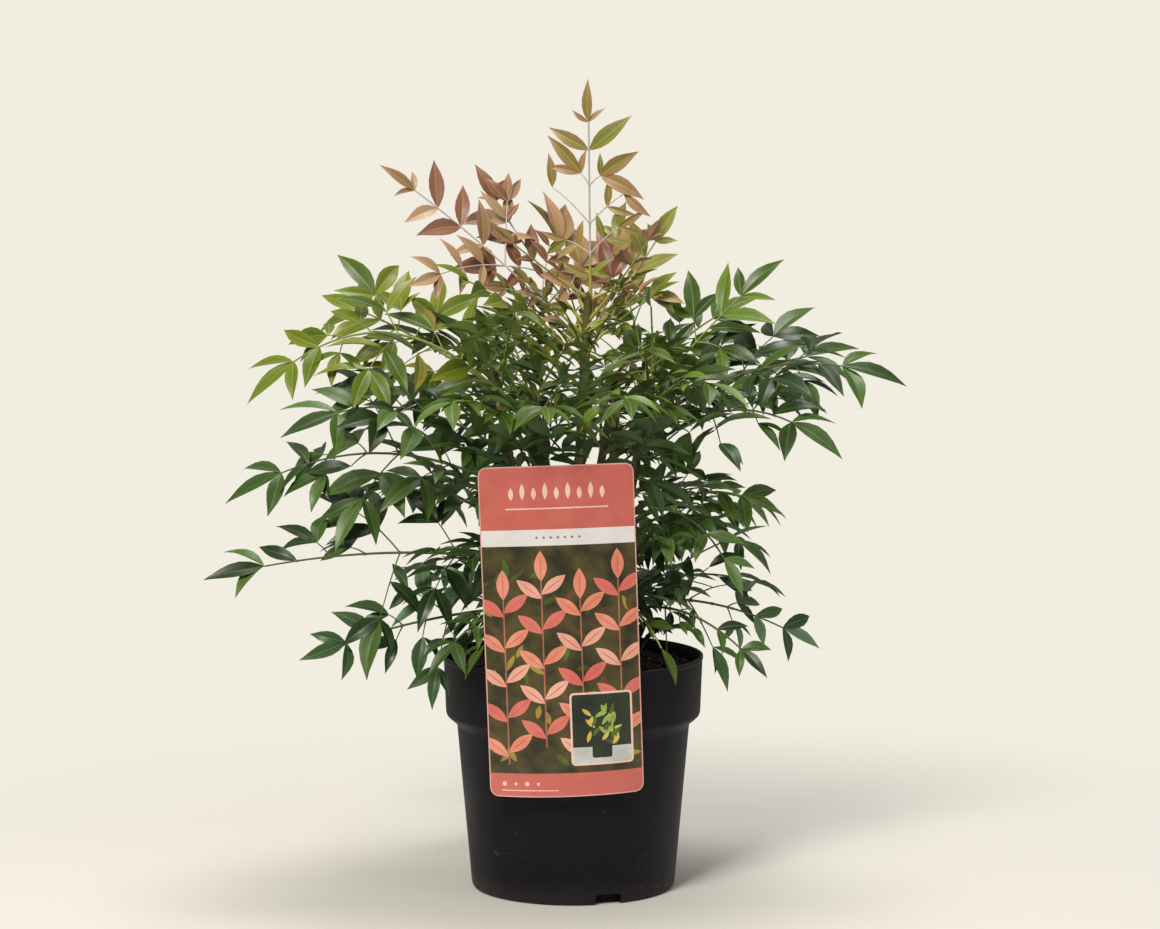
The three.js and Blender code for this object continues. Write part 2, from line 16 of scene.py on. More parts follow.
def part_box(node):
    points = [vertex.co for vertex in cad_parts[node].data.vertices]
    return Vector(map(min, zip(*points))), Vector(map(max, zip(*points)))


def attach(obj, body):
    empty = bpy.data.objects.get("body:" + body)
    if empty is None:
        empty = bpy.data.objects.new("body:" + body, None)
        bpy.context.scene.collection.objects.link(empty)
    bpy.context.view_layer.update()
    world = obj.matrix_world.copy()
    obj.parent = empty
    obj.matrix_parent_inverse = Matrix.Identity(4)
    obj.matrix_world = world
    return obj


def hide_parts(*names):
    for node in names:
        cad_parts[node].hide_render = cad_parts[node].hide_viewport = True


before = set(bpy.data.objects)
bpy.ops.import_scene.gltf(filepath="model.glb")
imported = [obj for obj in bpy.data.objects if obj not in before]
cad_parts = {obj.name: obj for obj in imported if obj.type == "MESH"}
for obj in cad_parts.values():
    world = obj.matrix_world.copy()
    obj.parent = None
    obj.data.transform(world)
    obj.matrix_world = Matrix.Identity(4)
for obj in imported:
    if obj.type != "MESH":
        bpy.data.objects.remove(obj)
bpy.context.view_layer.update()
BODY = "root"
MM = 0.001

# ------------------------------------------------------------------ sizes, millimetres

RIM_RADIUS, _, RIM_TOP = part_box("pot")[1] / MM
BAND_BOTTOM = 128
BAND_RADIUS = 93.2
SHOULDER_RADIUS = 85
SHOULDER_Z = 121
FOOT_RADIUS = 74.2
FOOT_ROUND = 4
POT_WALL = 1.6
POT_FLOOR = 2
POT_SIDES = 128
NOTCHES = 3
NOTCH_WIDTH = 20
NOTCH_HEIGHT = 8
NOTCH_DEPTH = 18
NOTCH_AZIMUTH = 290
NOTCH_CORNER = 3

CLEAR = 0.3
SOIL_TOP = 160

LABEL_WIDTH = 109
LABEL_HEIGHT = 236
LABEL_THICKNESS = 0.9
LABEL_CORNER = 6
LABEL_BOTTOM = 84
LABEL_X = -4
LABEL_Y = -97
LABEL_BOW = 14
LABEL_BOW_LOSS = 0.9
LABEL_LEAN = 6
LABEL_TURN = 2
HOOK_WIDTH = 18
HOOK_THICKNESS = 1.4
HOOK_DROP = 10
HOOK_REACH = 9
HOOK_BEND = 2.2
HOOK_SUNK = 0.3
HOOK_ARC = 6

CANE_FLARE = 1.7
CANE_FLARE_HEIGHT = 14
CANE_STEPS = 6
CANE_SWAY = 7
CANE_SWAY_TURNS = 3
CANE_LEAN_CURVE = 1.25
CANE_PROBE_RISE = 6
CANE_TIP_ROOM = 4
RING_FOOT = 25
RING_SPREAD = 58
RING_TOPS = (376, 348, 366, 380, 340, 352)
RING_THICK = 4.5
RING_THIN = 2.7
LEADER_TOP = 436
LEADER_AZIMUTH = 20
LEADER_SPREAD = 12
LEADER_THICK = 5.2
LEADER_THIN = 3
LEADER_ABOVE = 380

LEAF_LENGTH = 53
LEAF_WIDTH = 0.31
LEAF_STATION = 0.4
LEAF_FOLD = 0.09
LEAF_ARCH = 0.06
LEAF_TWIST = 28
LEAF_SAG = (0.5, 1.3)

STALK_RADIUS = 1.35
STALK_ROOT = 0.6
STALK_START = 4
STALK_STEPS = 4
STALK_ROOM = 1
STALK_DROPS = (0, 7, -7, 14, -14, 22, 30)
STALK_SHIFTS = (0, 4, -4, 8, -8, 12, -12, 17, -17)
END_SPREAD = (44, 60)
END_SHARE = 0.86
NODE_PLACES = (0.5, 0.78)
SIDE_SPREAD = (50, 66)
SIDE_LIFT = (-18, 24)
SIDE_SAG = 0.4
SIDE_SHARES = {"long": 0.43, "inner": 0.3, "short": 0, "large": 0}
SIDE_REACH = (0.88, 1.14)
SIDE_SHORTEST = 0.45
TRIPLE_SPREAD = (44, 62)
TRIPLE_SHARE = 0.84
SAG_LEVEL = 400
SAG_RANGE = (-0.25, 0.5)
SMALL_ABOVE = 440
SMALL_SCALE = 0.8

TIP_ROOM = 2
GAP = 1.1
RIM_ROOM = 1
RIM_ROOM_ABOVE = 2
LABEL_ROOM = 3
LABEL_VIEW = 5
ROOM_STEPS = 8
SMALLEST_LINE = 1e-3
SEED = 20260

# Sprays that give the crown its outline:
# name, azimuth, height on the cane, reach from the axis, tip height, arch, roll, tint
OUTER_SPRAYS = (
    ("spire", 335, 436, 12, 589, 0, 105, "bronze"),
    ("coral_left", 188, 398, 138, 526, 7, -60, "coral"),
    ("coral_mid_left", 160, 412, 78, 530, -6, -50, "coral"),
    ("coral_centre", 122, 420, 46, 514, -8, 20, "coral"),
    ("bronze_right", 22, 405, 84, 499, -4, 55, "bronze"),
    ("bronze_back", 55, 413, 70, 503, -6, 10, "bronze"),
    ("lime_tip", 186, 366, 241, 351, 48, -40, "lime"),
    ("lime_upper", 168, 366, 216, 427, 6, -45, "lime"),
    ("lime_front", 207, 386, 110, 457, 6, -30, "lime"),
    ("upper_right", 8, 360, 153, 456, 6, 50, "green"),
    ("far_right", 354, 336, 240, 369, 30, 35, "deep"),
    ("right_high", 22, 342, 230, 388, 10, 30, "deep"),
    ("right_mid", 338, 314, 207, 320, 36, 35, "deep"),
    ("left_high", 202, 318, 222, 337, 28, -35, "deep"),
    ("left_mid", 174, 290, 261, 276, 34, -40, "deep"),
    ("left_low", 191, 240, 270, 232, 12, -45, "deep"),
    ("left_bottom", 197, 206, 206, 175, 8, -65, "blue"),
    ("right_lower", 350, 262, 153, 276, 22, 45, "green"),
    ("right_hanging", 330, 246, 145, 212, 46, 40, "deep"),
    ("right_low", 10, 208, 188, 168, 16, 55, "blue"),
    ("right_bottom", 334, 200, 158, 160, 24, 50, "deep"),
    ("front_left", 219, 204, 138, 162, 24, -20, "deep"),
    ("rim_left", 229, 200, 122, 160, 28, 0, "green"),
    ("rim_right", 309, 200, 122, 152, 32, 0, "green"),
)

# The rest stand in tiers round the crown:
# tier, first azimuth, azimuth step, count, height on the cane, reach, tip height, arch, tint
TIERS = (
    ("low", 38, 35, 4, 202, 196, 190, 22, "blue"),
    ("middle", 46, 36, 4, 252, 226, 266, 30, "deep"),
    ("high", 48, 30, 4, 296, 224, 338, 26, "deep"),
    ("upper", 34, 38, 4, 336, 178, 414, 14, "green"),
    ("front", 226, 29, 4, 318, 172, 362, 28, "green"),
    ("brow", 246, 28, 3, 276, 122, 344, 14, "deep"),
    ("collar", 256, 38, 2, 348, 128, 418, 14, "lime"),
)
TIER_TURN = (-4, 4)
TIER_RISE = (-12, 12)
TIER_REACH = (0.92, 1.08)
SHOOT_REACH = (0.75, 1.15)
TIER_TIP = (-18, 18)
TIER_ARCH = (0.8, 1.2)
TIER_ROLL = (-30, 30)

# Short shoots fill the crown near its canes where the rest leaves room:
# first azimuth, azimuth step, count, height on the cane, reach, tip height, arch, tint
INNER_TIERS = (
    (12, 33, 11, 196, 122, 216, 8, "blue"),
    (28, 33, 11, 226, 134, 256, 10, "deep"),
    (5, 33, 11, 262, 128, 302, 10, "deep"),
    (20, 33, 11, 296, 122, 340, 8, "deep"),
    (2, 33, 11, 326, 112, 376, 8, "green"),
    (18, 36, 10, 352, 96, 410, 6, "green"),
    (0, 40, 9, 384, 74, 436, 4, "lime"),
    (-25, 22, 12, 408, 64, 464, 0, "bronze"),
    (-10, 24, 9, 420, 56, 488, -2, "coral"),
    (62, 26, 3, 214, 118, 236, 10, "deep"),
    (74, 24, 3, 250, 116, 284, 10, "deep"),
    (58, 22, 4, 286, 112, 322, 10, "green"),
    (243, 18, 4, 350, 88, 372, 8, "deep"),
    (236, 22, 4, 372, 80, 398, 6, "green"),
    (232, 19, 5, 330, 104, 352, 8, "deep"),
    (345, 28, 3, 418, 68, 506, -3, "coral"),
    (100, 30, 3, 422, 46, 512, -4, "coral"),
)

# Gaps kept open in the crown as the camera sees it, in the plane of the pot's axis:
# across, height, half width, half height, and how far back leaves keep out of them
THROUGH = 400
OPEN_VIEWS = (
    (101, 214, 15, 36, THROUGH),
    (117, 330, 25, 7, THROUGH),
    (80, 331, 16, 7, THROUGH),
    (103, 310, 14, 10, THROUGH),
    (74, 168, 20, 17, THROUGH),
    (-178, 219, 62, 12, THROUGH),
    (-122, 171, 9, 16, THROUGH),
    (54, 418, 15, 13, THROUGH),
    (4, 424, 17, 15, 6),
    (-14, 500, 21, 22, 70),
)

# One spray may stand before the open views, its end leaflets close to its tip
SHOWN_SPRAY = "coral_centre"
SHOWN_END_SHARE = 1.0
SHOWN_SPREAD = (24, 38)

# How the finer growth differs from the solids
FINE_SHARE = 0.93
FINE_SHARE_LOW = 0.68
FINE_SHARE_RISE = (160, 260)
FINE_SHARE_LIME = 0.86
FINE_SHARE_INNER = 0.68
FINE_SHARE_SMALL = 0.74
SPRAY_SHARES = {
    "coral_centre": 1.35, "upper_right": 1.35, "right_lower": 0.68, "right_hanging": 0.8,
    "right_low": 0.9, "right_bottom": 0.85,
}
SPRAY_SHADES = {
    "coral_centre": 1.2, "coral_left": 0.1, "spire": 0.3, "left_high": 0.85, "left_mid": 0.3,
    "lime_tip": 0.4,
}
FINE_WIDTH = (0.29, 0.39)
YOUNG_WIDTH = 1.2
WIDTH_SHARES = {"spire": 0.85, "coral_left": 0.95, "coral_centre": 1.5, "upper_right": 0.95}
FINE_SIZES = (0.78, 1.08)
FINE_BEND = (-0.05, 0.05)
FINE_TURN = (-22, 22)
FINE_ARCH = 0.10
FINE_ARCH_SPREAD = (0.2, 1.6)
YOUNG_PAIR_SHARE = 1.2
YOUNG_END_SHARE = 0.6
FINE_SAG = 0.5
LEVEL_SIDES = 0.15
LEVEL_FRONT = 1.4
DROOP_FRONT = 0.42
SMALLER_FRONT = 0.3
FINE_GAP = 0.15
LEAF_ROOM = 0.2
OWN_OVERLAP = 1.6
LEAF_TRIES = 7
TRY_SWING = 24
TRY_SHRINK = 0.05
INNER_NODE = 0.27
FOOT_NODE = 0.13
PAIR_SPACING = 0.72
PAIR_SHARE = 0.9
MOST_PAIRS = 2
NODE_ROOM = 11
SHOOT_NODES = (0.4, 0.72)
SPIRE_NODES = (
    (1, 0.7, "large"), (4, 0.92, "pair"), (0, 0.46, "long"), (2, 0.27, "inner"), (5, 0.13, "pair"),
)
LARGE_LEAF = 1.35
SMALL_INSIDE = 0.4
OLD_NODES = (2, 5)
OLD_SHARE = 0.72
TIP_NODE = 9
SHORT_TWIG = 0.34
SHORT_LEAF = 0.84
TWIG_BOW = 0.05
FINE_TWIG_RADIUS = 0.62
TWIG_TIP_RADIUS = 0.4
YOUNG_STALK = 0.55
SHOOT_STALK = 0.7
SHEATH_RADIUS = 2.3
SHEATH_SHARE = 0.7
SHEATH_TAPER = 0.9
SHEATH_LENGTH = 9
YOUNG_SHEATH_LENGTH = 30
JOINT_SWELL = 1.45
JOINT_HALF = 1.3
TUBE_STEP = 0.25
BEND_POINTS = 201
TWIG_POINTS = 6
STALK_POINTS = 18
SHEATH_POINTS = 4
TIP_BEND = 0.02
TIP_TWIST = 8
CROWN_ROOM = 8000
STALK_TONES = {
    "coral": "young", "bronze": "young", "lime": "fresh", "green": "fresh", "deep": "old", "blue": "old",
}
UP = np.array((0.0, 0.0, 1.0))

# ------------------------------------------------------------------ colours and nodes

NOISE = "ShaderNodeTexNoise"
MATHS = "ShaderNodeMath"
RANGE = "ShaderNodeMapRange"
SOCKETS = {float: "Float", int: "Int", tuple: "Vector"}


def linear(hex_colour):
    """A colour from its sRGB hex digits."""
    values = []
    for i in (0, 2, 4):
        c = int(hex_colour[i:i + 2], 16) / 255
        values.append(c / 12.92 if c <= 0.04045 else ((c + 0.055) / 1.055) ** 2.4)
    return (*values, 1.0)


def blend(first, second, share):
    """A hex colour between two others."""
    pairs = ((int(first[i:i + 2], 16), int(second[i:i + 2], 16)) for i in (0, 2, 4))
    return "".join(f"{round(a + (b - a) * share):02x}" for a, b in pairs)


def pick(sockets, key):
    """A socket by its number, its name or its identifier."""
    if isinstance(key, int):
        return sockets[key]
    return next(socket for socket in sockets if key in (socket.name, socket.identifier))


def plug(tree, node, inputs):
    """Puts values, or the outputs of other nodes, on a node's inputs."""
    for key, value in inputs.items():
        if isinstance(value, bpy.types.NodeSocket):
            tree.links.new(value, pick(node.inputs, key))
        else:
            pick(node.inputs, key).default_value = value


def add(tree, kind, inputs=None, out=0, **settings):
    """A node with its settings and inputs; gives the output that the next one needs."""
    node = tree.nodes.new(kind)
    for name, value in settings.items():
        setattr(node, name, value)
    plug(tree, node, inputs or {})
    return pick(node.outputs, out) if len(node.outputs) else None


def node_group(kind, name, inputs, outputs):
    """An empty node group: its tree, input sockets, and the two ends inside it.

    An input is given as its starting value, or as the name of its kind where it has none.
    """
    tree = bpy.data.node_groups.new(name, kind)
    sockets = {}
    for label, value in inputs.items():
        kind = value if isinstance(value, str) else SOCKETS[type(value)]
        sockets[label] = tree.interface.new_socket(label, in_out="INPUT", socket_type=f"NodeSocket{kind}")
        if kind != value:
            sockets[label].default_value = value
    for label in outputs:
        kind = "Geometry" if label == "Geometry" else "Float"
        tree.interface.new_socket(label, in_out="OUTPUT", socket_type=f"NodeSocket{kind}")
    return tree, sockets, tree.nodes.new("NodeGroupInput").outputs, tree.nodes.new("NodeGroupOutput")


def bare_tree(owner):
    owner.use_nodes = True
    owner.node_tree.nodes.clear()
    return owner.node_tree


# ------------------------------------------------------------------ camera, light, floor

CAMERA_AT = (0.005, -2.54, 0.568)
CAMERA_PITCH = 84.2
CAMERA_LENS = 109.0
SENSOR_WIDTH = 36
BACKDROP = "f1ede0"
ROOM_LIGHT = 0.3
FLOOR_RADIUS = 2.4
FLOOR_SIDES = 96
FLOOR_FADE = (0.2, 0.8)
LIGHT_AIM = Vector((0, 0, 0.3))
# name, place, size, power, tint
LIGHTS = (
    ("key", (-1.0, -2.3, 2.1), 0.9, 72, "fffaf3"),
    ("fill", (2.1, -1.5, 1.3), 1.6, 6, "f4f7ff"),
    ("top", (0.2, 0.4, 2.6), 1.2, 30, "fffefb"),
)


def put(name, data):
    """A new object in the scene."""
    made = bpy.data.objects.new(name, data)
    bpy.context.scene.collection.objects.link(made)
    return made


def make_camera():
    lens = bpy.data.cameras.new("camera")
    lens.lens = CAMERA_LENS
    lens.sensor_width = SENSOR_WIDTH
    camera = put("camera", lens)
    camera.location = CAMERA_AT
    camera.rotation_euler = (math.radians(CAMERA_PITCH), 0, 0)
    bpy.context.scene.camera = camera


def make_studio():
    """Soft light from all round, a key from the front left above, and a pale backdrop."""
    for name, at, size, power, tint in LIGHTS:
        lamp = bpy.data.lights.new(name, "AREA")
        lamp.shape = "DISK"
        lamp.size = size
        lamp.energy = power
        lamp.color = linear(tint)[:3]
        light = put(name, lamp)
        light.location = at
        light.rotation_euler = (LIGHT_AIM - Vector(at)).to_track_quat("-Z", "Y").to_euler()
    world = bpy.data.worlds.new("studio")
    bpy.context.scene.world = world
    tree = bare_tree(world)
    room = add(tree, "ShaderNodeBackground", {"Color": linear("fbf8f2"), "Strength": ROOM_LIGHT})
    seen = add(tree, "ShaderNodeBackground", {"Color": linear(BACKDROP)})
    from_camera = add(tree, "ShaderNodeLightPath", out="Is Camera Ray")
    mix = add(tree, "ShaderNodeMixShader", {"Fac": from_camera, 1: room, 2: seen})
    add(tree, "ShaderNodeOutputWorld", {"Surface": mix})
    bpy.context.scene.view_settings.view_transform = "Standard"


def make_floor():
    """A pale disc that fades out into the backdrop."""
    bpy.ops.mesh.primitive_circle_add(vertices=FLOOR_SIDES, radius=FLOOR_RADIUS, fill_type="NGON")
    floor = bpy.context.object
    floor.name = "floor"
    made = bpy.data.materials.new("pale floor")
    tree = bare_tree(made)
    place = add(tree, "ShaderNodeTexCoord", out="Object")
    far = add(tree, "ShaderNodeVectorMath", {0: place}, out="Value", operation="LENGTH")
    near_edge, far_edge = FLOOR_FADE
    fade = add(
        tree, RANGE, {"Value": far, "From Min": near_edge, "From Max": far_edge},
        interpolation_type="SMOOTHERSTEP",
    )
    matt = add(tree, "ShaderNodeBsdfDiffuse", {"Color": linear("e9e6de")})
    clear = add(tree, "ShaderNodeBsdfTransparent")
    mix = add(tree, "ShaderNodeMixShader", {"Fac": fade, 1: matt, 2: clear})
    add(tree, "ShaderNodeOutputMaterial", {"Surface": mix})
    floor.data.materials.append(made)


# ------------------------------------------------------------------ shared shader effects


def make_grain():
    """Grain: a height and a blotch mask from noise at two scales, stretched by Stretch."""
    inputs = {"Vector": "Vector", "Fine": 900.0, "Broad": 40.0, "Stretch": (1.0, 1.0, 1.0)}
    group, _, start, end = node_group("ShaderNodeTree", "grain", inputs, ("Height", "Blotch"))
    place = add(
        group, "ShaderNodeVectorMath", {0: start["Vector"], 1: start["Stretch"]}, operation="MULTIPLY"
    )
    for scale, detail, result in (("Fine", 3.0, "Height"), ("Broad", 5.0, "Blotch")):
        cloud = add(group, NOISE, {"Vector": place, "Scale": start[scale], "Detail": detail})
        plug(group, end, {result: cloud})
    return group


def make_scuffs():
    """Scuffs: a mask of short thin scratches and pale specks, thicker as Amount grows."""
    inputs = {"Vector": "Vector", "Scale": 60.0, "Amount": 0.5}
    group, _, start, end = node_group("ShaderNodeTree", "scuffs", inputs, ("Mask",))
    place = start["Vector"]
    drawn = add(group, "ShaderNodeVectorMath", {0: place, 1: (1.0, 1.0, 5.0)}, operation="MULTIPLY")
    marks = add(
        group, NOISE, {"Vector": drawn, "Scale": start["Scale"], "Detail": 4.0, "Distortion": 1.4}
    )
    patches = add(group, NOISE, {"Vector": place, "Scale": 22.0})
    sharp = add(group, RANGE, {"Value": marks, "From Min": 0.62, "From Max": 0.72})
    where = add(group, RANGE, {"Value": patches, "From Min": 0.5, "From Max": 0.65})
    both = add(group, MATHS, {0: sharp, 1: where}, operation="MULTIPLY")
    share = add(group, MATHS, {0: both, 1: start["Amount"]}, operation="MULTIPLY")
    plug(group, end, {"Mask": share})
    return group


def make_level():
    """Level: a soft mask that rises from Low to High along Z, broken up by noise."""
    inputs = {"Vector": "Vector", "Low": 0.0, "High": 1.0, "Break": 0.01}
    group, _, start, end = node_group("ShaderNodeTree", "level", inputs, ("Mask",))
    height = add(group, "ShaderNodeSeparateXYZ", {"Vector": start["Vector"]}, out="Z")
    cloud = add(group, NOISE, {"Vector": start["Vector"], "Scale": 70.0})
    centred = add(group, MATHS, {0: cloud, 1: 0.5}, operation="SUBTRACT")
    shifted = add(group, MATHS, {0: centred, 1: start["Break"], 2: height}, operation="MULTIPLY_ADD")
    ramp = add(
        group, RANGE, {"Value": shifted, "From Min": start["Low"], "From Max": start["High"]},
        interpolation_type="SMOOTHSTEP",
    )
    plug(group, end, {"Mask": ramp})
    return group


GRAIN = make_grain()
SCUFFS = make_scuffs()
LEVEL = make_level()


class Finish:
    """A material under construction: one Principled shader and what feeds it."""

    def __init__(self, name, roughness, specular=0.5, coat=0.0, coat_roughness=0.3):
        self.material = bpy.data.materials.new(name)
        self.tree = bare_tree(self.material)
        self.shader = self.tree.nodes.new("ShaderNodeBsdfPrincipled")
        plug(self.tree, self.shader, {
            "Roughness": roughness, "Specular IOR Level": specular,
            "Coat Weight": coat, "Coat Roughness": coat_roughness,
        })
        add(self.tree, "ShaderNodeOutputMaterial", {"Surface": self.shader.outputs["BSDF"]})
        self.place = add(self.tree, "ShaderNodeTexCoord", out="Object")

    def effect(self, group, **values):
        """A shared effect with its own values; gives its outputs."""
        node = self.tree.nodes.new("ShaderNodeGroup")
        node.node_tree = group
        plug(self.tree, node, {"Vector": self.place, **values})
        return node.outputs

    def mix(self, mask, low, high):
        """A colour between two others; each may be a hex colour or another node's output."""
        low, high = (linear(colour) if isinstance(colour, str) else colour for colour in (low, high))
        inputs = {"Factor": mask, "A_Color": low, "B_Color": high}
        return add(self.tree, "ShaderNodeMix", inputs, out="Result_Color", data_type="RGBA")

    def ramp(self, value, low, high, to_low=0.0, to_high=1.0):
        inputs = {"Value": value, "From Min": low, "From Max": high, "To Min": to_low, "To Max": to_high}
        return add(self.tree, RANGE, inputs)

    def done(self, colour, height, strength, distance, roughness=None):
        """Feeds the shader its colour, its relief and, where it changes, its roughness."""
        relief = {"Height": height, "Strength": strength, "Distance": distance}
        feeds = {
            "Base Color": linear(colour) if isinstance(colour, str) else colour,
            "Normal": add(self.tree, "ShaderNodeBump", relief),
        }
        if roughness is not None:
            feeds["Roughness"] = roughness
        plug(self.tree, self.shader, feeds)
        return self.material


# ------------------------------------------------------------------ finishes


def pot_plastic():
    """Black recycled plastic: fine grain, dusty scuffs, a paler rim edge that is part wear and part painted
    highlight, and a dusty foot.
    """
    finish = Finish("black nursery pot plastic", 0.5, specular=0.2)
    grain = finish.effect(GRAIN, Fine=1400.0, Broad=26.0, Stretch=(1.0, 1.0, 0.45))
    scuffs = finish.effect(SCUFFS, Scale=120.0, Amount=0.5)
    # The rim's top edge is painted paler: partly wear, partly a painted highlight.
    rim_wear_and_highlight = finish.effect(LEVEL, Low=(RIM_TOP - 1.2) * MM, High=(RIM_TOP + 0.2) * MM, Break=0.002)
    foot = finish.effect(LEVEL, Low=0.02, High=0.0, Break=0.014)
    plain = finish.mix(grain["Blotch"], "08050c", "120d17")
    dusty = finish.mix(finish.ramp(foot["Mask"], 0, 1, 0, 0.3), plain, "3a3733")
    marked = finish.mix(scuffs["Mask"], dusty, "5a5756")
    worn_and_highlit = finish.mix(finish.ramp(rim_wear_and_highlight["Mask"], 0, 1, 0, 0.5), marked, "4a4644")
    rough = finish.ramp(grain["Blotch"], 0.3, 0.7, 0.44, 0.6)
    return finish.done(worn_and_highlit, grain["Height"], 0.25, 0.0002, rough)


def potting_soil():
    """Damp dark soil with pale flecks; painted shade turns it black lower down, where the notches show it.
    """
    finish = Finish("damp potting soil", 0.95, specular=0.2)
    grain = finish.effect(GRAIN, Fine=700.0, Broad=180.0)
    # Painted shade: the soil goes black below this level, for the dark seen through the notches.
    surface = finish.effect(LEVEL, Low=0.05, High=0.13, Break=0.01)
    plain = finish.mix(finish.ramp(grain["Blotch"], 0.35, 0.65), "241618", "4e383a")
    flecked = finish.mix(finish.ramp(grain["Height"], 0.6, 0.75), plain, "6e5654")
    return finish.done(finish.mix(surface["Mask"], "050404", flecked), grain["Height"], 0.8, 0.0012)


def crumb(name, dark, pale, roughness=0.9):
    finish = Finish(name, roughness, specular=0.25)
    grain = finish.effect(GRAIN, Fine=1600.0, Broad=500.0)
    cloud = finish.mix(finish.ramp(grain["Blotch"], 0.35, 0.65), dark, pale)
    return finish.done(cloud, grain["Height"], 0.5, 0.0004)


def cane_bark():
    """Grey-brown bark in long strips, greener towards the top of each cane."""
    finish = Finish("cane bark", 0.78, specular=0.3)
    grain = finish.effect(GRAIN, Fine=900.0, Broad=260.0, Stretch=(1.0, 1.0, 0.12))
    young = finish.effect(LEVEL, Low=0.26, High=0.40, Break=0.05)
    old = finish.mix(finish.ramp(grain["Blotch"], 0.35, 0.62), "261b15", "66543f")
    fresh = finish.mix(finish.ramp(grain["Blotch"], 0.3, 0.7), "44421f", "6f6d38")
    return finish.done(finish.mix(young["Mask"], old, fresh), grain["Height"], 0.6, 0.0006)


def card_print(name, low, high):
    """Gloss-printed card: a base colour with a faint cloud of a second one."""
    finish = Finish(name, 0.34, coat=0.35, coat_roughness=0.18)
    grain = finish.effect(GRAIN, Fine=2400.0, Broad=60.0)
    cloud = finish.mix(finish.ramp(grain["Blotch"], 0.38, 0.62), low, high)
    return finish.done(cloud, grain["Height"], 0.04, 0.0001)


def leaf_finish(name, colour, roughness, coat):
    """One plain colour with fine grain in its relief and patches of duller gloss."""
    finish = Finish(name, roughness, specular=0.34, coat=coat, coat_roughness=0.25)
    grain = finish.effect(GRAIN, Fine=1100.0, Broad=140.0)
    dull = finish.ramp(grain["Blotch"], 0.3, 0.7, roughness - 0.07, roughness + 0.1)
    return finish.done(colour, grain["Height"], 0.12, 0.0006, dull)


# Upper faces from young leaves to old ones, each a margin and a heart colour,
# then the colours that midribs and undersides lean to; the warm, light undersides of coral and
# bronze leaves are partly painted light, standing in for light shining through them
LEAF_TINTS = {
    "coral": (
        (
            "b48c6c a88e64", "a0745e 907446", "8c5c4a 865e3e", "907a40 807a38", "a8845e 9a8050",
            "c4997a bc946a",
        ),
        "e0c4a0", "d4a88c",
    ),
    "bronze": (
        (
            "b08a68 a68452", "a48056 92863e", "8e8440 7f8238", "8a8a3c 7e8434", "ac8c60 9e8c4a",
            "864a42 82563c",
        ),
        "dccb90", "ccb886",
    ),
    "lime": (
        ("72821c 667a1c", "607218 566a16", "7c8222 707c22", "4b6314 435b14", "867830 707428"),
        "c8d080", "9fae70",
    ),
    "green": (("566e20 4e6a1e", "465f1a 3f5818", "667e26 5a7622", "384e16 324a16"), "a8b868", "7f9464"),
    "deep": (
        ("415b22 3b5620", "314919 2c4517", "5c783c 526e34", "496526 415f22", "283d18 243a17"),
        "8fa45c", "6c8460",
    ),
    "blue": (
        ("405c30 39562f", "304a2a 2b462b", "64805a 587452", "4b6938 436236", "283d24 243a25"),
        "86a066", "6a8468",
    ),
}
OLD_TONES = 1.5
TONE_SPREADS = {"coral": 1.9, "bronze": 1.7, "lime": 1.2, "green": 1, "deep": 1.3, "blue": 1.3}
RIB_SHARE = 0.38
UNDERSIDE_SHARE = 0.5
# Roughness and coat
LEAF_GLOSS = (0.36, 0.1)
RIB_GLOSS = (0.45, 0.0)
UNDERSIDE_GLOSS = (0.6, 0.0)
STALK_GLOSS = (0.5, 0.1)
STALK_TINTS = {"young": "c8beb8", "sheath": "b0a850", "fresh": "8a9848", "old": "55643a"}

# ------------------------------------------------------------------ the growth rule

STREAM_FACTOR = 1664525
STREAM_STEP = 1013904223
STREAM_SIZE = 2 ** 32
KEY_STEP = 7919
# One key for each use of the random streams
TIER_KEY, SHOOT_KEY, SHADE_KEY, SPARE_KEY, TONE_KEY, SCAR_KEY, PRINT_KEY = 5, 6, 61, 77, 31, 41, 53


def around(azimuth, radius, z):
    angle = math.radians(azimuth)
    return np.array((radius * math.cos(angle), radius * math.sin(angle), z))


def unit(vector):
    return vector / math.sqrt(vector @ vector)


def cross(a, b):
    return np.array((a[1] * b[2] - a[2] * b[1], a[2] * b[0] - a[0] * b[2], a[0] * b[1] - a[1] * b[0]))


def turned(along, axis, degrees):
    """A direction turned about an axis."""
    c = math.cos(math.radians(degrees))
    s = math.sin(math.radians(degrees))
    return unit(along * c + cross(axis, along) * s + axis * (axis @ along) * (1 - c))


def stream_of(*keys):
    """A repeatable stream of random numbers for a set of keys; each call gives one in a range."""
    state = SEED

    def random(low=0, high=1, key=0):
        nonlocal state
        state = (state * STREAM_FACTOR + STREAM_STEP + key * KEY_STEP) % STREAM_SIZE
        return low + (high - low) * (state / STREAM_SIZE)

    for key in (*keys, 0):
        random(key=key)
    return random


Cane = namedtuple("Cane", "name azimuth foot spread top thick thin")
CANES = [Cane("stem_leader", LEADER_AZIMUTH, 0, LEADER_SPREAD, LEADER_TOP, LEADER_THICK, LEADER_THIN)]
for i, top in enumerate(RING_TOPS):
    azimuth = 360 / len(RING_TOPS) * i
    CANES.append(Cane(f"stem_{i + 1}", azimuth, RING_FOOT, RING_SPREAD, top, RING_THICK, RING_THIN))


def cane_share(cane, z):
    return (z - SOIL_TOP - CLEAR) / (cane.top - SOIL_TOP - CLEAR)


def cane_centre(cane, z):
    u = cane_share(cane, z)
    radius = cane.foot + (cane.spread - cane.foot) * max(u, 0) ** CANE_LEAN_CURVE
    return around(cane.azimuth + CANE_SWAY * math.sin(CANE_SWAY_TURNS * u), radius, z)


def cane_radius(cane, z):
    rise = z - SOIL_TOP - CLEAR
    flare = 1 + (CANE_FLARE - 1) * math.exp(-rise / (CANE_FLARE_HEIGHT / 3))
    return (cane.thick + (cane.thin - cane.thick) * cane_share(cane, z)) * flare


